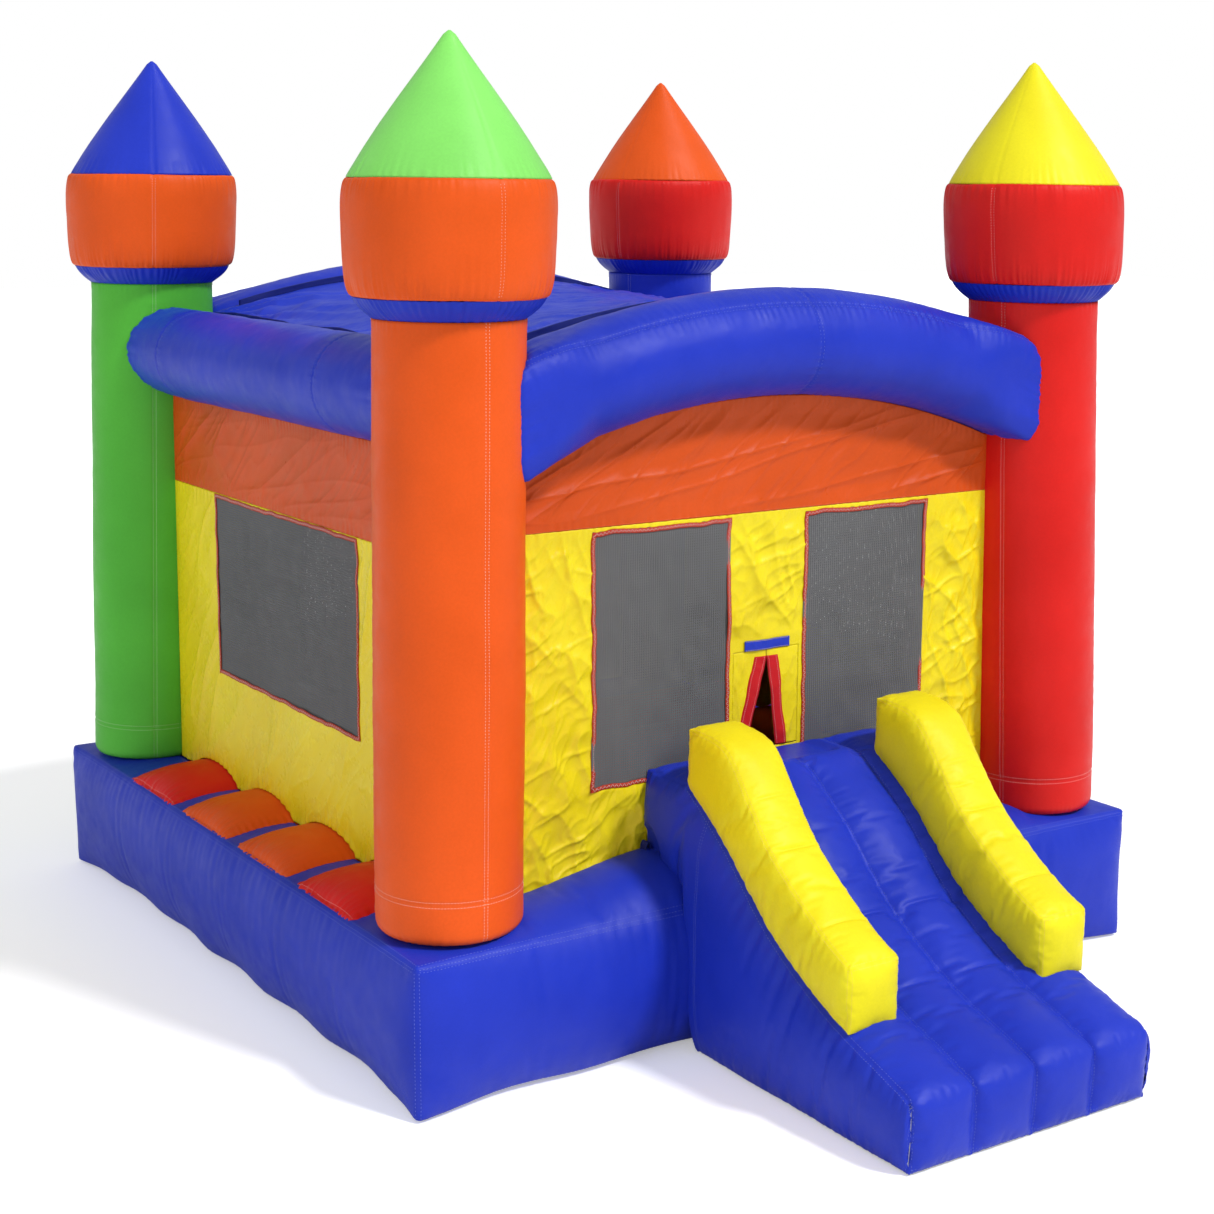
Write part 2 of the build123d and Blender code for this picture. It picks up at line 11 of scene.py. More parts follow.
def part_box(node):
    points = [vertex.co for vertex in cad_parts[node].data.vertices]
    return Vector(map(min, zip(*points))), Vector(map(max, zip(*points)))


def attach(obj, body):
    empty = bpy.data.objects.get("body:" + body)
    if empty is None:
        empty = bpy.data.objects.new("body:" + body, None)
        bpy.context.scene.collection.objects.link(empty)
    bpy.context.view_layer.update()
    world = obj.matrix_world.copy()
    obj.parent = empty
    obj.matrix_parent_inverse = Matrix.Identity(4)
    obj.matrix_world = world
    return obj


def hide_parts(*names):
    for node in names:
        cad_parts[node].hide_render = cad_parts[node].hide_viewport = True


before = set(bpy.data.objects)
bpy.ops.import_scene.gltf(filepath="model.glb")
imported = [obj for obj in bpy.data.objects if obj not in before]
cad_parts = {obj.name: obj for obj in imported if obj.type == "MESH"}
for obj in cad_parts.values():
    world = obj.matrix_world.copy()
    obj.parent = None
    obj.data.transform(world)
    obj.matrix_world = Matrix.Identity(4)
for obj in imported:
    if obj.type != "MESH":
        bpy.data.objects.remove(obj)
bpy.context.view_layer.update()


def lohi(node):
    lo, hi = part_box(node)
    return np.array(lo), np.array(hi)


# ---- the frame's own sizes ----
HALF, BASE_TOP = lohi("base_chamber")[1][[0, 2]]
EDGE = BASE_TOP - .03                     # top seam of the base
SHAFT_LO, SHAFT_HI = lohi("front_left_tower_shaft")
FOOT_R = .305                             # the shafts' radius
FOOT_C, NECK_C = -SHAFT_LO[0] - FOOT_R, -SHAFT_HI[0] + FOOT_R
FOOT_Z, NECK_Z = SHAFT_LO[2], SHAFT_HI[2]
RING_Z = FOOT_Z + .17                     # the seam near the shafts' foot
BAND_LO, BAND_HI = lohi("front_left_tower_band")
CONE_LO, CONE_HI = lohi("front_left_tower_cone")
WALL = -(lohi("front_wall_upper")[0][1] + .002)
SEAM, SIDE_SEAM = lohi("front_wall_upper")[0][2], lohi("left_wall_upper")[0][2]
ARCH_R, ARCH_MID, ARCH_END, ARCH_HALF = .235, 3.020, 2.785, 1.300
ARCH_C = (ARCH_HALF ** 2 + (ARCH_MID - ARCH_END) ** 2) / (2 * (ARCH_MID - ARCH_END))
BEAM_R, BEAM_Z, BEAM_X = .220, 2.830, 1.600
STRIP_PITCH, STRIP_HALF, STRIP_END = .658, .301, .022
STRIPS = [-.100 + (i - 1.5) * STRIP_PITCH for i in range(4)]
CREST = lohi("red_floor_panels")[1][2]
SILL_TOP = lohi("front_sills")[1][2]
SLIDE_LO, SLIDE_HI = lohi("slide_chamber")
RAIL_LO, RAIL_HI = lohi("slide_rail_right")
STAKE_LOOPS, SLIDE_LOOP = (-1.65, .35), (.670, -1.6495, .831)
DOOR_HALF, FLAP_EDGE = .1838, .1826       # the opening in the front wall, and the flaps' sewn edges in it
FRONT_WINDOWS, SIDE_WINDOWS = [(-.922, -.215), (.215, .922)], [(-.772, .772)]


# ---- noise and cloth shapes ----
def lattice(i, j, k, seed):
    h = (i * 374761393 + j * 668265263 + k * 1442695041 + seed * 1013904223) & 0xFFFFFFFF
    h = ((h ^ (h >> 13)) * 1274126177) & 0xFFFFFFFF
    return ((h ^ (h >> 16)) & 0xFFFF) / 32767.5 - 1.0


def noise(x, y=0.0, z=0.0, seed=0):
    """Smooth value noise, -1 to 1, the same on every run."""
    x, y, z = np.broadcast_arrays(np.asarray(x, float), y, z)
    cell = [np.floor(a) for a in (x, y, z)]
    t = [a - c for a, c in zip((x, y, z), cell)]
    t = [a * a * a * (a * (a * 6 - 15) + 10) for a in t]
    i, j, k = (c.astype(np.int64) for c in cell)
    out = np.zeros(x.shape)
    for a in (0, 1):
        for b in (0, 1):
            for c in (0, 1):
                w = (t[0] if a else 1 - t[0]) * (t[1] if b else 1 - t[1]) * (t[2] if c else 1 - t[2])
                out += w * lattice(i + a, j + b, k + c, seed)
    return out


def lumps(P, size, seed):
    return noise(P[..., 0] / size, P[..., 1] / size, P[..., 2] / size, seed)


def creases(u, v, size, angle, stretch, seed, sharp=.8):
    """Folds, longer than wide by stretch, running at angle. A smaller sharp makes thinner ridges."""
    a = (u * cos(angle) + v * sin(angle)) / (size * stretch)
    b = (v * cos(angle) - u * sin(angle)) / size
    b = b + .6 * noise(a * 1.3, b * .6, 0, seed + 7)
    return 1 - 2 * np.abs(noise(a, b, 0, seed)) ** sharp


def folds(x, z, seed, *kinds):
    """A sum of creases. Each kind is (height, size, angle, stretch, what it adds to the seed, sharp)."""
    return sum(high * creases(x, z, size, angle, stretch, seed + more, sharp)
               for high, size, angle, stretch, more, sharp in kinds)


def pleats(s, d, seed, pitch=.045, amp=.005, reach=.09):
    """The gathers beside a seam: s runs along it and d is the distance from it."""
    s = np.asarray(s) / pitch
    wave = np.cos(2 * pi * (s + .9 * noise(s * .31, 0, 0, seed)))
    strength = .6 + .4 * noise(s * .57, 3, 0, seed)
    far = reach * (.4 + .6 * (.5 + .5 * noise(s * .83, 9, 0, seed)))
    return amp * strength * wave * np.exp(-(np.abs(d) / far) ** 1.5)


def groove(d, depth=.004, width=.009):
    return -depth * np.exp(-(d / width) ** 2)


def smooth(a, b, x):
    t = np.clip((x - a) / (b - a), 0, 1)
    return t * t * (3 - 2 * t)


def xyz(x, y, z):
    """Points from three arrays that broadcast together."""
    return np.stack(np.broadcast_arrays(x, y, z), -1)


def unit(v):
    return v / np.maximum(np.linalg.norm(v, axis=-1, keepdims=True), 1e-12)


def normals(P, closed=False):
    du, dv = np.gradient(P, axis=0), np.gradient(P, axis=1)
    if closed:
        du[0] = du[-1] = (P[1] - P[-2]) / 2
    return unit(np.cross(du, dv))


def puffed(P, d, closed=False):
    return P + normals(P, closed) * np.asarray(d)[..., None]


def spread(points, n):
    """About n positions from first to last of points, with each of points among them."""
    points = np.asarray(points, float)
    shares = np.maximum(1, np.round(np.diff(points) / (points[-1] - points[0]) * (n - 1))).astype(int)
    runs = [np.linspace(a, b, k, endpoint=False) for a, b, k in zip(points, points[1:], shares)]
    return np.concatenate(runs + [points[-1:]])


def curve(points, t):
    """A smooth line through points, which lie at even steps of t from 0 to 1."""
    points = np.asarray(points, float)
    k = np.clip(np.asarray(t) * (len(points) - 1), 0, len(points) - 1 - 1e-9)
    i = k.astype(int)
    f = (k - i)[..., None]
    m = np.gradient(points, axis=0)
    return ((2 * f ** 3 - 3 * f ** 2 + 1) * points[i] + (f ** 3 - 2 * f ** 2 + f) * m[i]
            + (3 * f ** 2 - 2 * f ** 3) * points[i + 1] + (f ** 3 - f ** 2) * m[i + 1])


def along(line):
    """The distance along a line at each of its points."""
    return np.r_[0, np.cumsum(np.linalg.norm(np.diff(line, axis=0), axis=1))]


def sample(line, far, s):
    """The line's values at the distances s, where far is its distance at each point."""
    return np.stack([np.interp(s, far, line[:, k]) for k in range(line.shape[1])], 1)


# ---- meshes ----
def placed(name, data):
    ob = bpy.data.objects.new(name, data)
    bpy.context.scene.collection.objects.link(ob)
    return ob


def mesh_data(name, V, F):
    """A Blender mesh from vertices and faces that all have as many corners."""
    me = bpy.data.meshes.new(name)
    me.vertices.add(len(V))
    me.vertices.foreach_set("co", V.astype(np.float32).ravel())
    me.loops.add(F.size)
    me.loops.foreach_set("vertex_index", F.astype(np.int32).ravel())
    me.polygons.add(len(F))
    me.polygons.foreach_set("loop_start", np.arange(0, F.size, F.shape[1], dtype=np.int32))
    me.update(calc_edges=True)
    return me


class Mesh:
    """Grids gathered into one welded piece. Each grid carries its own cloth coordinates in metres."""

    def __init__(self):
        self.v, self.f, self.uv, self.m, self.n = [], [], [], [], 0

    def add(self, V, F, UV, mat=0):
        self.v.append(V)
        self.f.append(F + self.n)
        self.uv.append(UV)
        self.m.append(np.full(len(F), mat))
        self.n += len(V)
        return self

    def grid(self, P, flip=False, mat=0, keep=None):
        nu, nv = P.shape[:2]
        index = np.arange(nu * nv).reshape(nu, nv)
        q = np.stack([index[:-1, :-1], index[1:, :-1], index[1:, 1:], index[:-1, 1:]], -1)
        q = q[keep] if keep is not None else q.reshape(-1, 4)
        su = np.linalg.norm(np.diff(P, axis=0), axis=-1).mean(1)
        sv = np.linalg.norm(np.diff(P, axis=1), axis=-1).mean(0)
        uv = np.stack(np.meshgrid(np.r_[0, np.cumsum(su)], np.r_[0, np.cumsum(sv)], indexing="ij"), -1)
        return self.add(P.reshape(-1, 3), q[:, ::-1] if flip else q, uv.reshape(-1, 2), mat)

    def shell(self, P, thick, keep=None):
        """A sheet with two faces and closed edges."""
        N = normals(P)
        front, back = P + N * thick / 2, P - N * thick / 2
        self.grid(front, keep=keep)
        self.grid(back, flip=True, keep=keep)
        if keep is None:
            keep = np.ones((P.shape[0] - 1, P.shape[1] - 1), bool)
        pad, runs = np.pad(keep, 1), []
        for axis, step in ((0, -1), (0, 1), (1, -1), (1, 1)):
            i, j = np.nonzero(keep & ~np.roll(pad, -step, axis)[1:-1, 1:-1])
            o = (step + 1) // 2
            a = (i + o, j) if axis == 0 else (i, j + o)
            b = (i + o, j + 1) if axis == 0 else (i + 1, j + o)
            if (axis == 0) == (step < 0):
                a, b = b, a
            runs.append(np.stack([front[a], front[b], back[b], back[a]], 1))
        quads = np.concatenate(runs)
        n = len(quads)
        uv = np.tile([[0, 0], [.01, 0], [.01, .004], [0, .004]], (n, 1))
        return self.add(quads.reshape(-1, 3), np.arange(4 * n).reshape(n, 4), uv)

    def make(self, name, finishes, *nodes, body="castle", weld=.0003, soft=True):
        V, F, UV, M = (np.concatenate(a) for a in (self.v, self.f, self.uv, self.m))
        me = mesh_data(name, V, F)
        me.polygons.foreach_set("material_index", M.astype(np.int32))
        me.uv_layers.new(name="cloth").data.foreach_set("uv", UV[F].astype(np.float32).ravel())
        if weld:
            bm = bmesh.new()
            bm.from_mesh(me)
            bmesh.ops.remove_doubles(bm, verts=bm.verts, dist=weld)
            bmesh.ops.recalc_face_normals(bm, faces=bm.faces)
            bm.to_mesh(me)
            bm.free()
        me.polygons.foreach_set("use_smooth", np.full(len(me.polygons), soft))
        ob = placed(name, me)
        for finish in finishes:
            me.materials.append(MATERIALS[finish])
        if nodes:
            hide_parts(*nodes)
        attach(ob, body)
        return ob

    def cushion(self, name, finish, *nodes):
        self.make(name, [finish], *nodes)


class Thread:
    """Sewn stitches as small raised bars."""

    def __init__(self):
        self.bars = []

    def run(self, line, normal, pitch=.011, length=.0075, width=.0024, high=.0014, zigzag=0.0):
        line, normal = np.asarray(line, float), np.asarray(normal, float)
        far = along(line)
        if far[-1] < 2 * pitch:
            return
        s = np.arange(pitch / 2, far[-1] - length, pitch)
        at, to, n = sample(line, far, s), sample(line, far, s + length), unit(sample(normal, far, s))
        w = np.cross(n, unit(to - at))
        if zigzag:
            swing = zigzag * np.where(np.arange(len(s)) % 2, 1, -1)[:, None]
            at, to = at - w * swing, to + w * swing
            w = np.cross(n, unit(to - at))
        half, top, mid = w * width / 2, n * high, (at + to) / 2
        self.bars.append(np.stack([at + half * .3 - top * .3, at - half * .3 - top * .3, mid + half, mid - half,
                                   to + half * .3 - top * .3, to - half * .3 - top * .3, mid + top, mid - top], 1))

    def beside(self, Q, N, i, *how):
        """Two rows, on the lines next to line i of a closed grid."""
        for k in (i - 1, i + 1):
            k %= len(Q) - 1
            self.run(Q[k], N[k], *how)

    def make(self, name, finish):
        B = np.concatenate(self.bars)
        tri = np.array([(0, 2, 6), (0, 6, 1), (1, 6, 3), (4, 6, 2), (4, 5, 6), (5, 3, 6),
                        (0, 7, 2), (0, 1, 7), (1, 3, 7), (4, 2, 7), (4, 7, 5), (5, 7, 3)])
        me = mesh_data(name, B.reshape(-1, 3), (np.arange(len(B))[:, None, None] * 8 + tri).reshape(-1, 3))
        me.materials.append(MATERIALS[finish])
        ob = placed(name, me)
        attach(ob, "castle")
        return ob


THREADS = {name: Thread() for name in ("pale", "blue", "red", "yellow")}


# ---- materials ----
MATERIALS = {}


def fill_in(tree, n, inputs):
    """Links an input that is another node's output, and sets any other."""
    for key, value in inputs.items():
        if isinstance(value, bpy.types.NodeSocket):
            tree.links.new(value, n.inputs[key])
        else:
            n.inputs[key].default_value = value


def node(tree, kind, inputs, **settings):
    n = tree.nodes.new("ShaderNode" + kind)
    for key, value in settings.items():
        setattr(n, key, value)
    fill_in(tree, n, inputs)
    return n


def material(name, colour, rough=.46, weave=.0018, bump=.25, sheen=0.0, soil=0.0, uv=True, metal=0.0, grain=60.0,
             shine=.20):
    """Coated cloth, plastic or metal: uneven colour and gloss, a fine weave or grain, and soiling low down."""
    m = bpy.data.materials.new(name)
    m.use_nodes = True
    tree = m.node_tree
    where = node(tree, "TexCoord", {}).outputs

    def texture(scale, detail=3.0):
        return node(tree, "TexNoise", {"Scale": scale, "Detail": detail, "Roughness": .55,
                                       "Vector": where["Object"]}).outputs["Fac"]

    def remap(value, a, b, lo=.3, hi=.7):
        return node(tree, "MapRange", {"From Min": lo, "From Max": hi, "To Min": a, "To Max": b,
                                       "Value": value}).outputs["Result"]

    def mix(fac, a, b, **how):
        a, b = ((*v, 1) if isinstance(v, tuple) else v for v in (a, b))
        return node(tree, "Mix", {"Factor": fac, 6: a, 7: b}, data_type="RGBA", **how).outputs[2]

    def times(a, b):
        return node(tree, "Math", {0: a, 1: b}, operation="MULTIPLY").outputs[0]

    dark, light = tuple(c * .90 for c in colour), tuple(min(.95, c * 1.06 + .004) for c in colour)
    shade = mix(remap(texture(1.7), 0, 1), dark, light)
    flecks = mix(remap(texture(grain * 1.5, 2), 0, .35), (1, 1, 1), (.86, .86, .87))
    shade = mix(1, shade, flecks, blend_type="MULTIPLY")
    if soil:
        height = node(tree, "SeparateXYZ", {0: where["Object"]}).outputs["Z"]
        shade = mix(times(remap(height, soil, 0, 0, .35), remap(texture(9, 5), 0, 1)), shade, (.30, .28, .26))
    relief = remap(texture(grain, 4), 0, .35, 0, 1)
    if weave:
        yarns = [node(tree, "TexWave", {"Scale": 2 * pi / (20 * weave), "Vector": where["UV" if uv else "Object"]},
                      bands_direction=way).outputs["Fac"] for way in ("X", "Y")]
        relief = node(tree, "Math", {0: times(*yarns), 1: relief}).outputs[0]
    bumps = node(tree, "Bump", {"Strength": bump, "Distance": .0008, "Height": relief})
    fill_in(tree, tree.nodes["Principled BSDF"], {
        "Metallic": metal, "Specular IOR Level": shine, "Sheen Weight": sheen, "Base Color": shade,
        "Roughness": remap(texture(11, 4), rough - .07, rough + .09), "Normal": bumps.outputs["Normal"]})
    MATERIALS[name] = m


material("blue_vinyl", (.012, .036, .52), .38, soil=.06)
material("red_vinyl", (.76, .010, .006), .40)
material("orange_vinyl", (.84, .098, .004), .42)
material("yellow_vinyl", (.94, .80, .010), .42)
material("green_vinyl", (.090, .50, .040), .42)
material("lime_vinyl", (.25, .78, .14), .36)
material("orange_cloth", (.68, .080, .004), .34, .0022, .35, shine=.22)
material("yellow_cloth", (.94, .74, .008), .28, .0022, .35, shine=.30)
material("blue_cloth", (.016, .045, .54), .44, .0022, .35)
material("net", (.138, .140, .143), .62, .0006, .2, sheen=.1)
material("red_binding", (.52, .040, .016), .55, .0012, .5)
material("red_tape", (.66, .010, .016), .50, .0012, .5)
material("navy_webbing", (.008, .018, .19), .55, .0024, .7)
material("black_tape", (.018, .018, .020), .6, .0012, .5, uv=False)
for finish, colour, rough, bump, metal, grain in (
        ("zip_metal", (.62, .60, .56), .32, .1, 1, 220), ("blower_shell", (.62, .32, .012), .38, .25, 0, 420),
        ("black_plastic", (.022, .022, .024), .45, .3, 0, 500), ("fan_plastic", (.10, .10, .105), .48, .25, 0, 420),
        ("motor_paint", (.045, .05, .055), .35, .2, 0, 260), ("steel", (.55, .55, .56), .28, .1, 1, 260),
        ("red_switch", (.60, .012, .010), .30, .12, 0, 300), ("pale_thread", (.82, .78, .74), .6, .2, 0, 900),
        ("blue_thread", (.16, .21, .62), .6, .2, 0, 900), ("red_thread", (.80, .22, .12), .6, .2, 0, 900),
        ("yellow_thread", (.93, .72, .18), .6, .2, 0, 900)):
    material(finish, colour, rough, 0, bump, uv=False, metal=metal, grain=grain)


# ---- camera, light and floor ----
def camera():
    yaw, pitch, roll = -.6099, .1998, .0115
    back = np.array([sin(yaw) * cos(pitch), -cos(yaw) * cos(pitch), sin(pitch)])
    right = unit(np.cross(-back, [0, 0, 1]))
    up = np.cross(right, -back)
    r, u = cos(roll) * right + sin(roll) * up, cos(roll) * up - sin(roll) * right
    data = bpy.data.cameras.new("camera")
    data.lens, data.sensor_width, data.shift_x, data.clip_end = 62.5, 36, -.060, 200
    ob = placed("camera", data)
    place = (-5.6297, -8.9857, 3.7072)
    ob.matrix_world = Matrix([[r[k], u[k], back[k], p] for k, p in enumerate(place)] + [[0, 0, 0, 1]])
    bpy.context.scene.camera = ob


def lights():
    world = bpy.data.worlds.new("studio")
    bpy.context.scene.world = world
    world.use_nodes = True
    tree = world.node_tree
    soft, plain = tree.nodes["Background"], node(tree, "Background", {0: (1, 1, 1, 1), 1: 1.0})
    fill_in(tree, soft, {0: (.96, .98, 1, 1), 1: .50})
    seen = node(tree, "LightPath", {}).outputs["Is Camera Ray"]
    both = node(tree, "MixShader", {0: seen, 1: soft.outputs[0], 2: plain.outputs[0]})
    fill_in(tree, tree.nodes["World Output"], {0: both.outputs[0]})
    for name, power, angle, tilt, turn in (("key", 2.25, 7, 40, 24), ("fill", .40, 40, 58, -70)):
        data = bpy.data.lights.new(name, "SUN")
        data.energy, data.angle = power, radians(angle)
        placed(name, data).rotation_euler = (radians(tilt), 0, radians(turn))
    bpy.context.scene.view_settings.view_transform = "Standard"


def floor():
    """White, and a little brighter to the camera than the light alone makes it."""
    m = bpy.data.materials.new("studio_floor")
    m.use_nodes = True
    tree = m.node_tree
    seen = node(tree, "LightPath", {}).outputs["Is Camera Ray"]
    glow = node(tree, "Math", {0: seen, 1: .38}, operation="MULTIPLY").outputs[0]
    fill_in(tree, tree.nodes["Principled BSDF"], {"Base Color": (.94, .94, .94, 1), "Roughness": .8,
                                                  "Emission Color": (1, 1, 1, 1), "Emission Strength": glow})
    me = bpy.data.meshes.new("floor")
    me.from_pydata([(-60, -60, -.001), (60, -60, -.001), (60, 60, -.001), (-60, 60, -.001)], [], [(0, 1, 2, 3)])
    me.materials.append(m)
    placed("floor", me)


# ---- air pressure and sewing ----
def points_of(ob):
    co = np.zeros(len(ob.data.vertices) * 3, np.float32)
    ob.data.vertices.foreach_get("co", co)
    return co.reshape(-1, 3).astype(float)


def set_points(ob, P):
    ob.data.vertices.foreach_set("co", P.astype(np.float32).ravel())
    ob.data.update()


def distance_to(P, lines):
    lines = np.concatenate([np.asarray(a).reshape(-1, 3) for a in lines])
    tree = KDTree(len(lines))
    for i, p in enumerate(lines):
        tree.insert(p, i)
    tree.balance()
    return np.array([tree.find(p)[2] for p in P])


def simulate(ob, start, pins, pressure, grow, cap, bend, frames=18):
    """Cloth under air pressure, with its cut fuller by grow. No point ends more than cap from its start."""
    group = ob.vertex_groups.new(name="seams")
    for weight in np.unique(pins[pins > 0]):
        group.add([int(i) for i in np.nonzero(pins == weight)[0]], float(weight), "REPLACE")
    m = ob.modifiers.new("air", "CLOTH")
    c = m.settings
    c.quality, c.mass, c.air_damping = 6, .25, 4
    c.tension_stiffness = c.compression_stiffness = c.shear_stiffness = 15
    c.bending_stiffness = bend
    c.use_pressure, c.uniform_pressure_force = True, pressure
    c.shrink_min = -grow
    c.vertex_group_mass = "seams"
    c.pin_stiffness = 1
    c.effector_weights.gravity = 0
    m.collision_settings.use_collision = False
    m.point_cache.frame_start, m.point_cache.frame_end = 1, frames
    for f in range(1, frames + 1):
        bpy.context.scene.frame_set(f)
    made = ob.evaluated_get(bpy.context.evaluated_depsgraph_get()).to_mesh()
    P = np.zeros(len(made.vertices) * 3, np.float32)
    made.vertices.foreach_get("co", P)
    ob.modifiers.remove(m)
    ob.vertex_groups.remove(group)
    bpy.context.scene.frame_set(1)
    move = P.reshape(-1, 3) - start
    size = np.maximum(np.linalg.norm(move, axis=1, keepdims=True), 1e-9)
    return start + move * np.tanh(size / cap) * cap / size


def inflate(ob, seams, pressure, grow, cap, bend=.05, pin=.9, fixed=None):
    """Air pushes the cloth out between its seams, and the cloth, cut a little full, puckers beside them."""
    start = points_of(ob)
    pins = np.where(distance_to(start, seams) < .003, pin, 0)
    if fixed is not None:
        pins[fixed(start)] = 1
    set_points(ob, simulate(ob, start, pins, pressure, grow, cap, bend))
    m = ob.modifiers.new("finer", "SUBSURF")
    m.levels = m.render_levels = 1
    m.use_limit_surface = False            # the hubs have hundreds of spokes, which the limit surface is slow at
    finer = bpy.data.meshes.new_from_object(ob.evaluated_get(bpy.context.evaluated_depsgraph_get()))
    ob.modifiers.remove(m)
    old, name = ob.data, ob.data.name
    ob.data = finer
    bpy.data.meshes.remove(old)
    finer.name = name


def creep(ob, seams, seed, big=.003, fine=.0009, deep=.003, wide=.008, fixed=None):
    """Unevenness of the filled cloth, with a groove along each seam."""
    P = points_of(ob)
    N = np.zeros(len(P) * 3, np.float32)
    ob.data.vertex_normals.foreach_get("vector", N)
    d = big * lumps(P, .30, seed) + fine * lumps(P, .07, seed + 1) + .5 * fine * lumps(P, .03, seed + 2)
    d += groove(distance_to(P, seams), deep, wide)
    if fixed is not None:
        d[fixed(P)] = 0
    set_points(ob, P + N.reshape(-1, 3) * d[:, None])


def sew(ob, lines, thread, offsets, **how):
    """Rows of stitches beside seams, laid on the finished surface."""
    me = ob.data
    tree = BVHTree.FromPolygons([v.co for v in me.vertices], [p.vertices for p in me.polygons])
    for line in lines:
        far = along(line)
        if far[-1] < .05:
            continue
        line = sample(np.asarray(line, float), far, np.arange(0, far[-1], .012))
        across = np.cross(unit(np.gradient(line, axis=0)), [tree.find_nearest(p)[1] for p in line])
        for o in offsets:
            hits = [tree.find_nearest(p) for p in line + across * o]
            THREADS[thread].run([h[0] for h in hits], [h[1] for h in hits], **how)


# ---- base ----
BASE_STITCH = dict(pitch=.016, length=.010, width=.0026)
SLIDE_STITCH = dict(pitch=.014, length=.009, width=.0026)


def sill_rise(x, y):
    """How far the base swells above its seam in front of the front wall."""
    inward = np.clip((HALF + y) / (HALF - WALL), 0, 1)
    side = 1 - .80 * smooth(.60, 1.45, np.abs(x))
    side = np.where(np.abs(x) < HALF, side * (1 - smooth(1.45, 1.80, np.abs(x))), 0)
    return np.where(y < -1.55, (SILL_TOP - EDGE) * np.sin(inward * pi / 2) ** .75 * side, 0)


def sewn_on(x, z):
    """1 where the zips, the stake loops or the sleeve are sewn to the back of the base, and 0 away from them."""
    (lo, hi), (s_lo, s_hi) = lohi("zip_covers"), lohi("inflation_sleeve")
    zips = (smooth(-.16, -.04, -np.maximum(lo[0] - x, x - hi[0]))
            * smooth(-.14, -.04, -np.maximum(lo[2] - z, z - hi[2])))
    loops = [(1 - smooth(.06, .14, np.abs(x - at))) * (1 - smooth(.12, .20, z)) for at in STAKE_LOOPS]
    sleeve = 1 - smooth(.15, .24, np.hypot(x - (s_lo[0] + s_hi[0]) / 2, z - (s_lo[2] + s_hi[2]) / 2))
    return np.max([zips, sleeve, *loops], 0)


def build_base():
    n = 160                                                                # points along each side
    t, one = np.linspace(-1, 1, n, endpoint=False), np.ones(n)
    path = np.concatenate([np.stack(p, 1) for p in ((t, -one), (one, t), (-t, one), (-one, -t))] + [[(-1, -1)]])
    side, s = np.r_[np.repeat(range(4), n), 0], np.r_[np.tile(t, 4), -1.0] * HALF
    mid = (1 - np.exp(-((HALF - np.abs(s)) / .22) ** 1.3))[:, None]        # 0 at the corners, 1 between them
    by_strips = np.cos(2 * pi * (s * np.where(side == 1, 1, -1) + .1) / STRIP_PITCH)
    waves = np.where(side % 2 == 1, by_strips, np.cos(2 * pi * s / .79))[:, None]
    full = np.where(side == 2, .12, 1)[:, None]                            # the back stays flat
    k, q = np.linspace(0, 1, 28)[None, :], np.linspace(0, 1, 15)[None, 1:]
    hem, shoulder = (.062 + .010 * waves) * mid * full, .012 * mid
    out = (HALF - hem * (1 - k) ** 1.5 - shoulder * k ** 2
           + (.030 + .006 * waves) * mid * full * np.sin(pi * k) ** .8)
    z = .006 + k * (EDGE - .006) + 0 * mid
    top_out = (HALF - shoulder) * (1 - q) + 1.612 * q
    swell = sill_rise(path[:, :1] * top_out, path[:, 1:] * top_out)
    top_z = EDGE + (BASE_TOP - EDGE) * q + swell + .012 * np.sin(pi * q) * mid
    inner_out = np.array([1.59, 1.56, 1.0, 0])[None, :] + 0 * mid
    rim_z = np.minimum(top_z[:, -1:], BASE_TOP)
    inner_z = np.array([-.020, -.03, 0, 0])[None, :] + np.where(inner_out > 1.5, rim_z, EDGE - .012)
    foot_out = np.array([0, 1.6, HALF - .16])[None, :] + 0 * mid
    outs = np.concatenate([foot_out, out, top_out, inner_out], 1)
    P = xyz(path[:, :1] * outs, path[:, 1:] * outs, np.concatenate([0 * foot_out + .001, z, top_z, inner_z], 1))
    P[-1] = P[0]
    ob = Mesh().grid(P, flip=True).make("base_cushion", ["blue_vinyl"], "base_chamber", "base_baffles",
                                        "front_sills")
    corner_lines, hem_line, shoulder_line = [P[c * n, 3:31] for c in range(4)], P[:, 3], P[:, 30]
    seams = corner_lines + [hem_line, shoulder_line]

    def still(Q):
        sill = (Q[:, 1] < -1.62) & (np.abs(Q[:, 0]) < 1.42)
        inside = np.maximum(np.abs(Q[:, 0]), np.abs(Q[:, 1])) < 1.62
        return (Q[:, 2] < .003) | inside | ((Q[:, 2] > EDGE - .002) & ~sill)

    inflate(ob, seams, 10, .016, .055, bend=1.2, fixed=still)
    creep(ob, seams, 21, .004, .0010, .004, .010, still)
    Q = points_of(ob)
    Q[:, 2] = np.maximum(Q[:, 2], .0005)
    Q[:, 1] = np.minimum(Q[:, 1], HALF - .001 + .06 * (1 - sewn_on(Q[:, 0], Q[:, 2])))
    set_points(ob, Q)
    sew(ob, [shoulder_line], "blue", (-.010, .012, .030), **BASE_STITCH)
    sew(ob, [hem_line], "blue", (.014, .034), **BASE_STITCH)
    sew(ob, corner_lines, "blue", (-.012, .012), **BASE_STITCH)


def strip_z(x, t):
    """Height of a floor strip at x, and at t from -1 to 1 across it."""
    end = .028 + .006 * np.cos(3 * t)
    run = np.clip((HALF - end - np.abs(x)) / .26, 0, 1)
    crest = EDGE + .004 + (CREST + .014 - EDGE - .004) * np.sqrt(np.clip(1 - (1 - run) ** 2, 0, 1))
    return EDGE - .02 + (crest - EDGE + .02) * np.clip(1 - np.abs(t) ** 2, 0, 1) ** .52


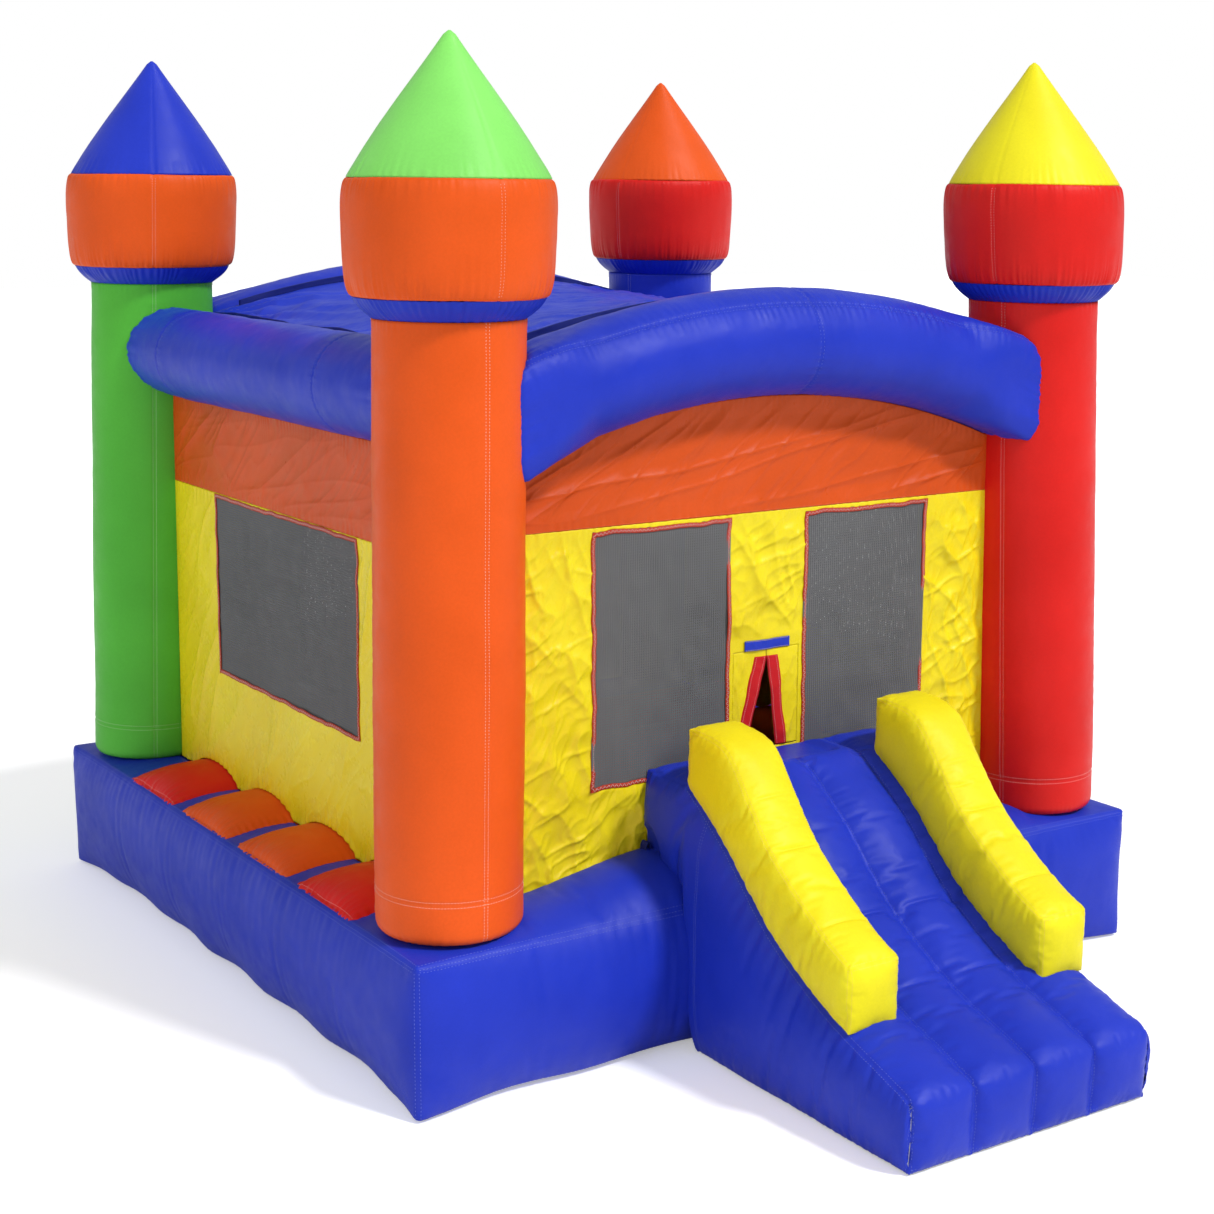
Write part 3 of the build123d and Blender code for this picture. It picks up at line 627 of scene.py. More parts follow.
def floor_z(x, y):
    """Height of the base's top and of the strips on it."""
    inward = np.clip((HALF - np.maximum(np.abs(x), np.abs(y))) / (HALF - WALL), 0, 1)
    z = EDGE + (BASE_TOP - EDGE) * inward
    for middle in STRIPS:
        t = (y - middle) / STRIP_HALF
        z = np.where(np.abs(t) < 1, np.maximum(z, strip_z(x, t)), z)
    return z


def build_strips():
    end_x = HALF - STRIP_END
    x = np.unique(np.r_[np.linspace(-end_x, -1.50, 70), np.linspace(-1.50, 1.50, 90),
                        np.linspace(1.50, end_x, 70)])[:, None]
    t = np.sin(np.linspace(-pi / 2, pi / 2, 72))[None, :]
    for name, which, stitch in (("red", (0, 3), "pale"), ("orange", (1, 2), "red")):
        mesh = Mesh()
        for i in which:
            P = xyz(x, STRIPS[i] + t * STRIP_HALF, strip_z(x, t))
            d = pleats(x, (1 - np.abs(t)) * STRIP_HALF, 31 + i, .040, .0036, .07)
            d = d + pleats(t * STRIP_HALF, end_x - np.abs(x), 41 + i, .042, .0050, .11)
            Q = puffed(P, d + .0035 * lumps(P, .22, 51 + i) + .0011 * lumps(P, .06, 52))
            Q[:, :, 2] = np.minimum(Q[:, :, 2], CREST + .024)
            N = normals(Q)
            for row in (2, len(x) - 3):
                THREADS[stitch].run(Q[row], N[row], .014)
            under = Q.copy()
            under[:, :, 2] = np.minimum(EDGE - .02, Q[:, :, 2])
            mesh.grid(Q).grid(under, flip=True)
            for cut in (0, -1):
                mesh.grid(np.stack([Q[cut], under[cut]], 0), flip=cut == -1)
            for cut in (0, -1):
                mesh.grid(np.stack([Q[:, cut], under[:, cut]], 1), flip=cut == -1)
        mesh.cushion(f"{name}_strips", f"{name}_vinyl", f"{name}_floor_panels")


# ---- towers ----
CORNERS = {"front_left": (-1, -1), "front_right": (1, -1), "back_left": (-1, 1), "back_right": (1, 1)}
# shaft, band and cone, and where the first of the three upright seams is
PAINT = {"front_left": ("orange", "orange", "lime", -90), "front_right": ("red", "red", "yellow", -40),
         "back_left": ("green", "orange", "blue", -110), "back_right": ("blue", "red", "orange", 200)}


def lean(z):
    """How far a tower's axis is from the middle along x and along y."""
    return FOOT_C + (z - FOOT_Z) * (NECK_C - FOOT_C) / (NECK_Z - FOOT_Z)


def angle_gap(a, at, r):
    return np.abs((a - at + pi) % (2 * pi) - pi) * r


def line_at(angle, n):
    """The line of a turned form, which has n of them, that is nearest to an angle."""
    return int(round(angle % (2 * pi) / (2 * pi) * n)) % n


def turned_form(corner, z, r, n):
    a = np.linspace(0, 2 * pi, n + 1)[:, None]
    return xyz(corner[0] * lean(z) + r * np.cos(a), corner[1] * lean(z) + r * np.sin(a), z), a


def closed_turn(mesh, Q, corner):
    """A turned form with both of its ends closed at its axis."""
    ends = []
    for cut in (0, -1):
        z = Q[:, cut, 2].mean()
        hub = np.array([corner[0] * lean(z), corner[1] * lean(z), z])
        ends.append(np.stack([hub + (Q[:, cut] - hub) * k for k in (0, .5)], 1))
    return mesh.grid(np.concatenate([ends[0], Q, ends[1][:, ::-1]], 1), flip=True)


def build_tower(name, corner):
    seed = 100 + 7 * list(CORNERS).index(name)
    shaft, band, cone, turn = PAINT[name]
    seams, pale = [radians(turn + k * 120) for k in range(3)], THREADS["pale"]

    def seam_gap(a, r):
        return np.min([angle_gap(a, s, r) for s in seams], 0)

    def part(which, paint, Q):
        closed_turn(Mesh(), Q, corner).cushion(f"{name}_{which}_skin", f"{paint}_vinyl", f"{name}_tower_{which}")

    n = 240
    z = spread([FOOT_Z, RING_Z, NECK_Z], 230)
    P, a = turned_form(corner, z, FOOT_R + .004 * np.sin(pi * (z - FOOT_Z) / (NECK_Z - FOOT_Z)), n)
    gap, s, ring, foot, neck = seam_gap(a, FOOT_R), a * FOOT_R, np.abs(z - RING_Z), z - FOOT_Z, NECK_Z - z
    d = pleats(s, foot, seed, .034, .0022, .035) + pleats(s, ring, seed + 1, .038, .0012, .03)
    d += pleats(s, neck, seed + 2, .032, .0024, .05) - .012 * np.exp(-(foot / .014) ** 1.4)
    d += pleats(z, gap, seed + 3, .060, .0016, .035)
    d += groove(gap, .0030, .006) + groove(ring, .0030, .006) + groove(foot, .004, .012)
    d += .0040 * lumps(P, .55, seed + 4) + .0010 * lumps(P, .12, seed + 5) + .0005 * lumps(P, .035, seed + 6)
    Q = puffed(P, d, True)
    N = normals(Q, True)
    pale.beside(Q.swapaxes(0, 1), N.swapaxes(0, 1), int(np.argmin(ring)), .013)
    for seam in seams:
        pale.beside(Q, N, line_at(seam, n), .013)
    part("shaft", shaft, Q)

    # rounded at both seams, with tight gathers
    n, r_mid = 360, .41
    z0, z1 = BAND_LO[2], BAND_HI[2]
    z = z0 + (z1 - z0) * (.5 - .5 * np.cos(np.linspace(0, pi, 84)))
    k = (z - z0) / (z1 - z0)
    P, a = turned_form(corner, z, np.interp(k, (0, 1), (.384, .399))
                       + .031 * np.clip(1 - np.abs(2 * k - 1) ** 4, 0, 1) ** .6, n)
    s, low, high = a * r_mid, z - z0, z1 - z
    d = pleats(s, low, seed + 11, .024, .0046, .085) + pleats(s, low, seed + 12, .060, .0030, .15)
    d += pleats(s, high, seed + 13, .021, .0034, .055) + pleats(s, high, seed + 14, .050, .0022, .10)
    d = d * smooth(-.004, .016, np.minimum(low, high)) + groove(seam_gap(a, r_mid), .0028, .006)
    d += .003 * lumps(P, .3, seed + 15) + .0008 * lumps(P, .06, seed + 16)
    Q = puffed(P, d, True)
    N = normals(Q, True)
    for seam in seams:
        pale.beside(Q[:, 8:-8], N[:, 8:-8], line_at(seam, n), .012, .007, .0016, .0010)
    part("band", band, Q)

    # a little full near its foot, pinched along its gore seams
    z0, z1 = CONE_LO[2], CONE_HI[2]
    k = np.linspace(0, 1, 100) ** .9
    z = z0 + (z1 - z0) * k
    r = .399 * (1 - k) + .014 * k + .022 * np.sin(pi * k) ** .8 * (1 - k)
    r = r * np.clip((1.004 - k) / .03, 0, 1) ** .5
    P, a = turned_form(corner, z, r, 200)
    d = pleats(a * .4, z - z0, seed + 21, .036, .0042, .07)
    d += groove(seam_gap(a, np.maximum(r, .02)), .0026, .006) * np.clip(1.1 - k, 0, 1)
    d += (.0022 * lumps(P, .25, seed + 22) + .0006 * lumps(P, .05, seed + 23)) * (1 - k)
    part("cone", cone, puffed(P, d, True))


def build_necks():
    mesh = Mesh()
    z0, z1, k = NECK_Z + .0006, BAND_LO[2] - .0006, np.linspace(0, 1, 26)
    z = z0 + (z1 - z0) * k
    for i, corner in enumerate(CORNERS.values()):
        P, a = turned_form(corner, z, np.interp(k, (0, 1), (.303, .383)) + .010 * np.sin(pi * k), 300)
        d = pleats(a * .35, z1 - z, 61 + i, .030, .0060, .10) + pleats(a * .35, z - z0, 71 + i, .034, .0030, .06)
        closed_turn(mesh, puffed(P, d * np.sin(pi * np.clip(k, .06, .94)) ** .3, True), corner)
    mesh.cushion("neck_skins", "blue_vinyl", "tower_necks")


# ---- arches, beams, roof ----
def turn_z(P, quarter):
    c, s = [(1, 0), (0, 1), (-1, 0), (0, -1)][quarter]
    return xyz(c * P[..., 0] - s * P[..., 1], s * P[..., 0] + c * P[..., 1], P[..., 2])


def tube_form(line, radius, ns, na, flat):
    """A tube on line(s) beside the front wall. Its ends follow the two front towers' shafts, and flat
    squares their front half, as cloth sewn to the tower along an upright seam does."""
    a, reach = np.linspace(0, 2 * pi, na + 1), 1.32

    def at(q, share):
        centre, up = line(q)
        p = 2 + np.where(np.cos(a) > 0, flat * smooth(.70, 1, share), 0) * np.clip(3 * np.abs(np.cos(a)), 0, 1)
        k = (np.abs(np.cos(a)) ** p + np.abs(np.sin(a)) ** p) ** (-1 / p)
        c, s = np.cos(a) * k, np.sin(a) * k
        return centre + radius * (up * s[..., None] + np.array([0, -1, 0]) * c[..., None])

    lo, hi = np.full(na + 1, reach * .55), np.full(na + 1, reach * 1.25)
    for _ in range(30):
        mid = (lo + hi) / 2
        p = at(mid, 1.0)
        centre = lean(p[:, 2])
        inside = np.hypot(p[:, 0] - centre, p[:, 1] + centre) < FOOT_R + .001
        hi, lo = np.where(inside, mid, hi), np.where(inside, lo, mid)
    sigma = np.linspace(-1, 1, ns)[:, None]
    q = sigma * lo[None, :]
    return at(q, np.abs(sigma)), q, a[None, :], lo[None, :] - np.abs(q)


def arch_line(q):
    turn = q / ARCH_C
    return (xyz(ARCH_C * np.sin(turn), -WALL, ARCH_MID - ARCH_C + ARCH_C * np.cos(turn)),
            xyz(np.sin(turn), 0, np.cos(turn)))


def beam_line(q):
    return xyz(q, -BEAM_X, BEAM_Z), xyz(0 * q, 0, 1)


def build_tube(name, line, radius, quarter, seam_at, crossings, flat, seed):
    ns, na, thread, wide = 330, 150, THREADS["blue"], (.016, .010, .0026)
    P, q, a, end = tube_form(line, radius, ns, na, flat)
    gap, under, s = angle_gap(a, seam_at, radius), angle_gap(a, -pi / 2, radius), a * radius
    d = pleats(s, end, seed, .030, .0036, .08) + pleats(s, end, seed + 1, .075, .0042, .20)
    d += pleats(q, gap, seed + 2, .036, .0036, .065) + pleats(q, under, seed + 3, .05, .0030, .08)
    d += groove(gap, .004, .008) + groove(end, .006, .014)
    for x in crossings:
        d += groove(np.abs(q - x), .004, .008) + pleats(s, np.abs(q - x), seed + 4, .034, .0026, .06)
    d += .0055 * lumps(P, .45, seed + 5) + .0020 * lumps(P, .13, seed + 6) + .0009 * lumps(P, .04, seed + 7)
    Q = turn_z(puffed(P, d), quarter)
    Q[:, -1] = Q[:, 0]
    N = normals(Q)
    thread.beside(Q.swapaxes(0, 1), N.swapaxes(0, 1), line_at(seam_at, na), *wide)
    for x in crossings:
        thread.beside(Q, N, int(np.argmin(np.abs(q[:, 0] - x))), *wide)
    caps = [np.stack([Q[c].mean(0) + (Q[c] - Q[c].mean(0)) * k for k in (0, .6)], 0) for c in (0, -1)]
    Mesh().grid(np.concatenate([caps[0], Q, caps[1][::-1]], 0)).cushion(f"{name}_tube", "blue_vinyl", name)


def roof_z(x):
    top = lohi("roof_sheet")[1][2]
    rise, half = top - .004 - 2.960, 1.420
    r = (half ** 2 + rise ** 2) / (2 * rise)
    return top - .002 - r + np.sqrt(r * r - x * x)


def build_roof():
    u, v = np.linspace(-1, 1, 230)[:, None], np.linspace(-1, 1, 230)[None, :]
    x = u * 1.421
    z = roof_z(x)
    arch_z = ARCH_MID - ARCH_C + np.sqrt(ARCH_C ** 2 - x ** 2)
    reach = WALL - np.sqrt(np.clip((ARCH_R + .004) ** 2 - (z - arch_z) ** 2, .0001, None))
    y = v * reach
    w = 0
    for i, (cx, cy) in enumerate(CORNERS.values()):                        # folds fan out from the corners
        dx, dy = x - cx * 1.45, y - cy * 1.45
        angle, far = np.arctan2(dy, dx), np.hypot(dx, dy)
        fan = np.cos(22 * angle + 2.5 * noise(far * 2, angle * 3, i, 81))
        w = w + .022 * np.exp(-far / .75) * fan * smooth(0, .25, far)
    w = w + folds(x, y, 82, (.010, .24, .5, 2.5, 0, .8), (.006, .10, -.6, 3, 1, .8), (.002, .04, .2, 3, 2, .8))
    sag = -.055 * np.clip(1 - (y / reach) ** 2, 0, 1) * np.clip(1 - (x / 1.42) ** 2, 0, 1)
    hold = np.clip((1 - u ** 2) * 5, 0, 1) * np.clip((1 - v ** 2) * 6, 0, 1)
    clear = np.hypot(np.abs(x) - lean(3.0), np.abs(y) - lean(3.0)) > FOOT_R + .003
    keep = clear[:-1, :-1] & clear[1:, 1:] & clear[1:, :-1] & clear[:-1, 1:]
    ob = Mesh().shell(xyz(x, y, z + sag + w * hold), .004, keep).make("roof_cloth", ["blue_cloth"], "roof_sheet")


def build_hems():
    mesh = Mesh()
    t, h = np.linspace(-1, 1, 150)[:, None], np.linspace(0, 1, 9)[None, :]
    for side in (-1, 1):
        x = side * (1.409 + .006 * noise(t * 9, h, 0, 91) * h + .004 * np.cos(t * 50) * h)
        z = roof_z(np.full_like(x, 1.409)) + .008 + h * (.055 + .008 * noise(t * 5, 0, 0, 92))
        mesh.shell(xyz(x, t * 1.18, z), .005)
        y = side * (1.427 + .005 * noise(t * 11, h, 4, 93) * h)
        mesh.shell(xyz(t * 1.18, y, roof_z(t * 1.18) + .004 + h * .032), .005)
    mesh.make("roof_hem_strips", ["navy_webbing"], "roof_hems")


# ---- walls, nets, bindings ----
FULL_X = .95                              # beyond this the walls' columns are drawn in to meet the towers
OUT = np.array([0, -1.0, 0])


def wall_end(z):
    """How far from the middle a wall meets the tower's shaft."""
    c = lean(z)
    return c - np.sqrt(FOOT_R ** 2 - (WALL - c) ** 2) - .001


def drawn_in(x, z):
    more = (np.abs(x) - FULL_X) * (wall_end(z) - FULL_X) / .38
    return np.sign(x) * np.where(np.abs(x) > FULL_X, FULL_X + more, np.abs(x))


def wall_depth(x, z, seed, low, front):
    """The slack of a wall panel: thin ridges over long drawn folds. The front wall is the most crumpled."""
    if not low:
        return (1 if front else .5) * folds(x, z, seed, (.006, .30, .9, 3.0, 0, .8), (.0085, .15, .50, 8, 2, .5),
                                            (.0075, .09, .15, 9, 3, .5), (.0045, .05, .75, 8, 4, .6))
    if not front:
        return folds(x, z, seed, (.008, .34, .9, 3.0, 0, .8), (.0045, .14, 1.15, 6, 2, .5),
                     (.0024, .06, .8, 5, 3, .5))
    return folds(x, z, seed, (.009, .30, .9, 3.0, 0, .8), (.0095, .16, -.8, 3.5, 1, .5),
                 (.0100, .10, 1.9, 3.0, 2, .5), (.0078, .06, .4, 3.5, 3, .5), (.0042, .034, 1.1, 3.0, 4, .6))


def build_wall(quarter, tapes, nets):
    front, arched, seed = quarter == 0, quarter % 2 == 0, 200 + 10 * quarter
    side_name, seam = ["front", "right", "back", "left"][quarter], SEAM if front else SIDE_SEAM
    windows, (w_low, w_high) = (FRONT_WINDOWS, (1.130, 2.245)) if front else (SIDE_WINDOWS, (1.265, 2.155))
    (flap_lo, flap_hi), patch_top = lohi("entrance_flap_left"), lohi("entrance_patch")[1][2]
    door_low, door_high = flap_lo[2] - .004, flap_hi[2] + .004
    marks = [-1.33, -FULL_X, FULL_X, 1.33, *sum(windows, ()), *((-DOOR_HALF, DOOR_HALF) if front else ())]
    rows = [BASE_TOP, FULL_X, w_low, w_high, seam, *((door_low, door_high) if front else ())]
    u, v = spread(sorted(set(marks)), 420)[:, None], spread(sorted(set(rows)), 230)[None, :]
    x = drawn_in(u, v)
    if front:
        low = np.where(np.abs(x) < SLIDE_HI[0], BASE_TOP, EDGE + sill_rise(x, -WALL + 0 * x) + .004)
    else:
        p = turn_z(xyz(x, -WALL, v), quarter)
        low = floor_z(p[..., 0], p[..., 1]) + .004
    z = v + (low - BASE_TOP) * np.clip((FULL_X - v) / (FULL_X - BASE_TOP), 0, 1)
    pin = np.clip((wall_end(z) - np.abs(x)) / .06, 0, 1)
    free = np.min([np.abs(seam - z) / .10, (z - low) / .05 + .2], 0).clip(0, 1) * pin
    mid_x, mid_z = (x[:-1, :-1] + x[1:, 1:]) / 2, (z[:-1, :-1] + z[1:, 1:]) / 2
    hole = np.zeros(mid_x.shape, bool)
    for a, b in windows:
        outside = np.maximum(np.maximum(a - x, x - b), np.maximum(w_low - z, z - w_high))
        free = free * np.clip(.45 + np.abs(outside) / .10, 0, 1)
        hole |= (mid_x > a) & (mid_x < b) & (mid_z > w_low) & (mid_z < w_high)
    if front:
        outside = np.maximum(np.abs(x) - .190, np.maximum(door_low - z, z - patch_top - .012))
        free = free * np.clip(.02 + np.maximum(outside, 0) / .07, 0, 1)
        hole |= (np.abs(mid_x) < .183) & (mid_z > door_low) & (mid_z < door_high)
    d = wall_depth(x, z, seed, True, front) * free
    d += (pleats(x, seam - z, seed + 5, .045, .0030, .08) + pleats(x, z - low, seed + 6, .05, .005, .08)) * pin
    P = xyz(x, -WALL - d, z)
    ob = Mesh().shell(turn_z(P, quarter), .004, ~hole).make(f"{side_name}_lower_cloth", ["yellow_cloth"],
                                                            f"{side_name}_wall_lower")

    # bindings: folded tape round each window, with zigzag stitching
    for a, b in windows:
        ring, corners = [], np.array([(a, w_low), (b, w_low), (b, w_high), (a, w_high), (a, w_low)])
        for start, end in zip(corners, corners[1:]):
            k = np.linspace(0, 1, int(np.hypot(*(end - start)) / .012), endpoint=False)[:, None]
            ring.append(start + (end - start) * k)
        ring = np.concatenate(ring + [ring[0][:1]])
        place = np.arange(len(ring))
        wobble = .0045 * noise(place * .16, seed, 0, 6) + .0015 * noise(place * .5, seed, 0, 7)
        off = ring - corners[:4].mean(0)
        outward = np.where(np.abs(off) > (corners[2] - corners[0]) / 2 - 1e-6, np.sign(off), 0)
        near = ring + outward * .010
        i = np.clip(np.searchsorted(u[:, 0], near[:, 0]), 0, len(u) - 1)
        j = np.array([np.argmin(np.abs(z[column] - height)) for column, height in zip(i, near[:, 1])])
        depth = np.convolve(np.pad(P[i, j, 1] - .002, 3, mode="wrap"), np.ones(7) / 7, "valid")
        lines = []
        for k in (-1, -.6, 0, .6, 1):
            p = ring + outward * (k * .010 + wobble[:, None])
            lines.append(xyz(p[:, 0], depth - .0022 - .0012 * (1 - k * k), p[:, 1]))
        T, N = turn_z(np.stack(lines, 1), quarter), turn_z(np.tile(OUT, (len(ring), 1)), quarter)
        tapes.shell(T, .0022)
        THREADS["pale"].run(T[:, 2] + N * .0014, N, .010, .0095, .0022, .0010, zigzag=.0075)
        add_net(nets, quarter, a - .008, b + .008, w_low - .008, w_high + .008, seed)

    def roofline(px):
        arch = ARCH_MID - ARCH_C + np.sqrt((ARCH_C - ARCH_R - .001) ** 2 - px ** 2)
        return arch if arched else BEAM_Z - BEAM_R - .001 + 0 * px

    # upper panel
    k = np.linspace(0, 1, 90)[None, :]
    x = drawn_in(u, seam + .001 + k * (roofline(u) - seam - .001))
    top = roofline(x)
    z = seam + .001 + k * (top - seam - .001)
    free = np.min([(z - seam) / .08, (top - z) / .10 + .15], 0).clip(0, 1)
    d = wall_depth(x, z, seed + 50, False, front) * free * np.clip((wall_end(z) - np.abs(x)) / .06, 0, 1)
    d += pleats(x, z - seam, seed + 7, .05, .0022, .07) + pleats(x, top - z, seed + 8, .036, .0026, .07)
    U = turn_z(xyz(x, -WALL - d, z), quarter)
    ob = Mesh().shell(U, .004).make(f"{side_name}_upper_cloth", ["orange_cloth"], f"{side_name}_wall_upper")
    N = turn_z(np.tile(OUT, (len(u), 1)), quarter)
    THREADS["red"].run(U[:, 1] + N * .0024, N, .012)


def add_net(mesh, quarter, x0, x1, z0, z1, seed):
    """Knitted net: upright and level yarns, each a thin flat ribbon."""
    pitch, wide, thick = .0115, .0090, .0012

    def depth(x, z):
        u, v = (x - x0) / (x1 - x0), (z - z0) / (z1 - z0)
        hold = np.clip(8 * u * (1 - u), 0, 1) * np.clip(8 * v * (1 - v), 0, 1)
        slack = .006 * noise(x * 5, z * 4, 0, seed) + .0035 * noise(x * 14, z * 11, 0, seed + 1)
        return -WALL - hold * slack

    for level in (False, True):
        (a, b), (c, d) = ((x0, x1), (z0, z1)) if level else ((z0, z1), (x0, x1))
        run = np.linspace(a, b, int((b - a) / .035))
        for lane in np.arange(c + pitch / 2, d, pitch):
            lines = []
            for across, lift in ((-wide / 2, 0), (0, thick), (wide / 2, 0), (0, -thick), (-wide / 2, 0)):
                other = np.full(len(run), lane + across)
                px, pz = (run, other) if level else (other, run)
                lines.append(xyz(px, depth(px, pz) - lift + (.0006 if level else -.0006), pz))
            mesh.grid(turn_z(np.stack(lines, 1), quarter), flip=not level)


# ---- entrance ----
def build_entrance():
    for side, name, gape, tape_wide in ((-1, "left", .108, .066), (1, "right", .062, .058)):
        lo, hi = lohi(f"entrance_flap_{name}")
        top, bottom, body = hi[2] + .0034, lo[2], f"entrance_flap_{name}"
        tape_top, nt, nh = top - .03, 34, 84

        def free_edge(z):
            return .002 + gape * np.clip((tape_top - z) / (tape_top - bottom), 0, 1)

        t, h = np.linspace(0, 1, nt)[:, None], np.linspace(0, 1, nh)[None, :]
        z = bottom + h * (top - bottom)
        x = FLAP_EDGE + t * (free_edge(z) - FLAP_EDGE)
        d = (.010 * np.sin(t * pi) * creases(x, z, .09, 1.45, 3, 300 + side) + .005 * t * noise(z * 9, 0, side, 301)
             + .002 * creases(x, z, .03, 1.2, 2.5, 302))
        P = xyz(side * x, -WALL - d * np.clip((top - z) / .06 + .1, 0, 1), z)
        thick = .0008 + .0032 * smooth(0, .012, FLAP_EDGE - x)[..., None]  # thin where sewn, to clear the wall
        flap = Mesh().shell(P, thick).make(f"flap_{name}_cloth", ["yellow_cloth"], body, body=body)
        # edging tape, wide at the bottom, on the outer face of the free edge
        w, z = np.linspace(0, 1, 7)[None, :], np.linspace(bottom, tape_top, 70)[:, None]
        edge = free_edge(z)
        x = np.minimum(edge - .002 + w * (tape_wide + .004 * noise(z * 14, 0, side, 303)), .178)
        i = np.clip((x - FLAP_EDGE) / (edge - FLAP_EDGE) * (nt - 1), 0, nt - 1).round().astype(int)
        j = np.clip((z - bottom) / (top - bottom) * (nh - 1), 0, nh - 1).round().astype(int)
        T = xyz(side * x, P[i, j, 1] - .0035 - .0016 * np.sin(pi * w), z)
        tape = Mesh().shell(T, .0024).make(f"flap_{name}_tape", ["red_tape"], f"entrance_edging_{name}", body=body)
        seams = Thread()
        for col in (1, 5):
            seams.run(T[:, col] + OUT * .0014, np.tile(OUT, (len(z), 1)), .009, .0065, .0018, .0008)
        stitched = seams.make(f"flap_{name}_stitching", "pale_thread")
        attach(stitched, body)
    lo, hi = lohi("entrance_patch")
    u, v = np.linspace(lo[0], hi[0], 60)[:, None], np.linspace(lo[2], hi[2], 14)[None, :]
    y = lo[1] - .0030 - .0016 * noise(u * 30, v * 30, 0, 5) - .0012 * noise(u * 70, v * 60, 0, 7)
    P = xyz(u, y, v + .002 * noise(u * 20, 0, 0, 6))
    Mesh().shell(P, .003).make("door_patch", ["blue_cloth"], "entrance_patch")
    for row in (1, 12):
        THREADS["yellow"].run(P[:, row] + OUT * .0018, np.tile(OUT, (len(u), 1)), .010)


# ---- slide ----
SLOPE = [(-1.912, 1.180), (-2.20, .985), (-2.51, .705), (-2.88, .492), (-3.28, .352)]


def build_slide():
    half, front, back = SLIDE_HI[0], SLIDE_LO[1], SLIDE_HI[1]
    deck_n, lip_n = 19, 21                                                 # points on the deck and down the lip
    deck = xyz(np.linspace(back, SLOPE[0][0], deck_n, endpoint=False), SLIDE_HI[2], 0)[:, :2]
    run = curve(SLOPE, np.linspace(0, 1, 87))
    foot = curve([SLOPE[-1], (-3.36, .326), (front + .012, .302)], np.linspace(0, 1, 13)[1:])
    lip = curve([foot[-1], (front + .001, foot[-1, 1] - .030), (front, .16), (front + .012, .006)],
                np.linspace(0, 1, lip_n + 1)[1:])
    line = np.concatenate([deck, run, foot, lip])                          # the sliding surface, as (y, z)
    s = along(line)
    lane, x = half / 2, np.linspace(-half, half, 81)
    gap = np.min([np.abs(x - k * lane) for k in (-2, -1, 0, 1, 2)], 0)
    way = unit(np.gradient(line, axis=0))
    bulge = (.020 * np.sqrt(np.clip(1 - (2 * gap / lane - 1) ** 2, 0, 1)) - .010)[:, None]
    rise = bulge * (smooth(.30, .60, s) * smooth(0, .05, s[-1] - s))[None, :]
    T = xyz(x[:, None], line[:, 0] + way[:, 1] * rise, np.maximum(line[:, 1] - way[:, 0] * rise, .004))
    mesh, gussets = Mesh().grid(T), []
    seams = [T[i] for i in (0, 20, 40, 60, 80)] + [T[:, -1], T[:, 0]]
    h = np.linspace(0, 1, 34)
    for side, rim in ((-1, T[0]), (1, T[-1])):
        ry, rz = rim[:-lip_n, 1:2], rim[:-lip_n, 2:3]
        ease = smooth(-HALF - .03, -HALF + .01, ry)
        low = .004 * (1 - ease) + (EDGE + sill_rise(np.full_like(ry, half), ry) - .02) * ease
        S = xyz(side * (half + .018 * np.sin(pi * h) * smooth(0, .3, rz - low)), ry, rz + (low - rz) * h)
        mesh.grid(S, flip=side > 0)
        mesh.grid(np.stack([S[-1], sample(rim[-lip_n - 1:], np.linspace(0, 1, lip_n + 1), h)], 0), flip=side > 0)
        seams += [S[:, 0], S[:, -1]]
        gussets.append(S[int(np.argmin(np.abs(ry[:, 0] + HALF + .085)))])
    deck_back = [xyz(x, back, z) for z in (SLIDE_HI[2] - .02, .9, .70)]
    mesh.grid(np.concatenate([T[:, :1], np.stack(deck_back, 1)], 1))
    ob = mesh.make("slide_cushion", ["blue_vinyl"], "slide_chamber", weld=.0006)

    def still(Q):
        return (Q[:, 1] > -WALL - .012) | (Q[:, 2] < .003)

    inflate(ob, seams, 16, .040, .045, fixed=still)
    creep(ob, seams, 406, .003, .0010, .005, .009, still)
    Q = points_of(ob)
    Q[:, 2] = np.maximum(Q[:, 2], .0005)
    Q[:, 1] = np.minimum(Q[:, 1], back)
    swept = smooth(-1.95, -1.81, Q[:, 1]) * (1 - smooth(.20, .30, np.abs(Q[:, 0])))     # the flaps swing over this
    Q[:, 2] = np.minimum(Q[:, 2], SLIDE_HI[2] + .05 * (1 - swept) + .001)
    near_loop = 1 - smooth(.07, .16, np.hypot(Q[:, 1] - SLIDE_LOOP[1], Q[:, 2] - SLIDE_LOOP[2]))
    widest = half + .06 * (1 - near_loop)
    Q[:, 0] = np.clip(Q[:, 0], -widest, widest)
    set_points(ob, Q)
    for lines, offsets in ((seams[1:4], (-.012, .012)), ([seams[0][20:], seams[4][20:]], (-.012, .012)),
                           ([seams[5]], (.012, .028, -.012, -.028)), (gussets, (-.006, .006))):
        sew(ob, lines, "blue", offsets, **SLIDE_STITCH)


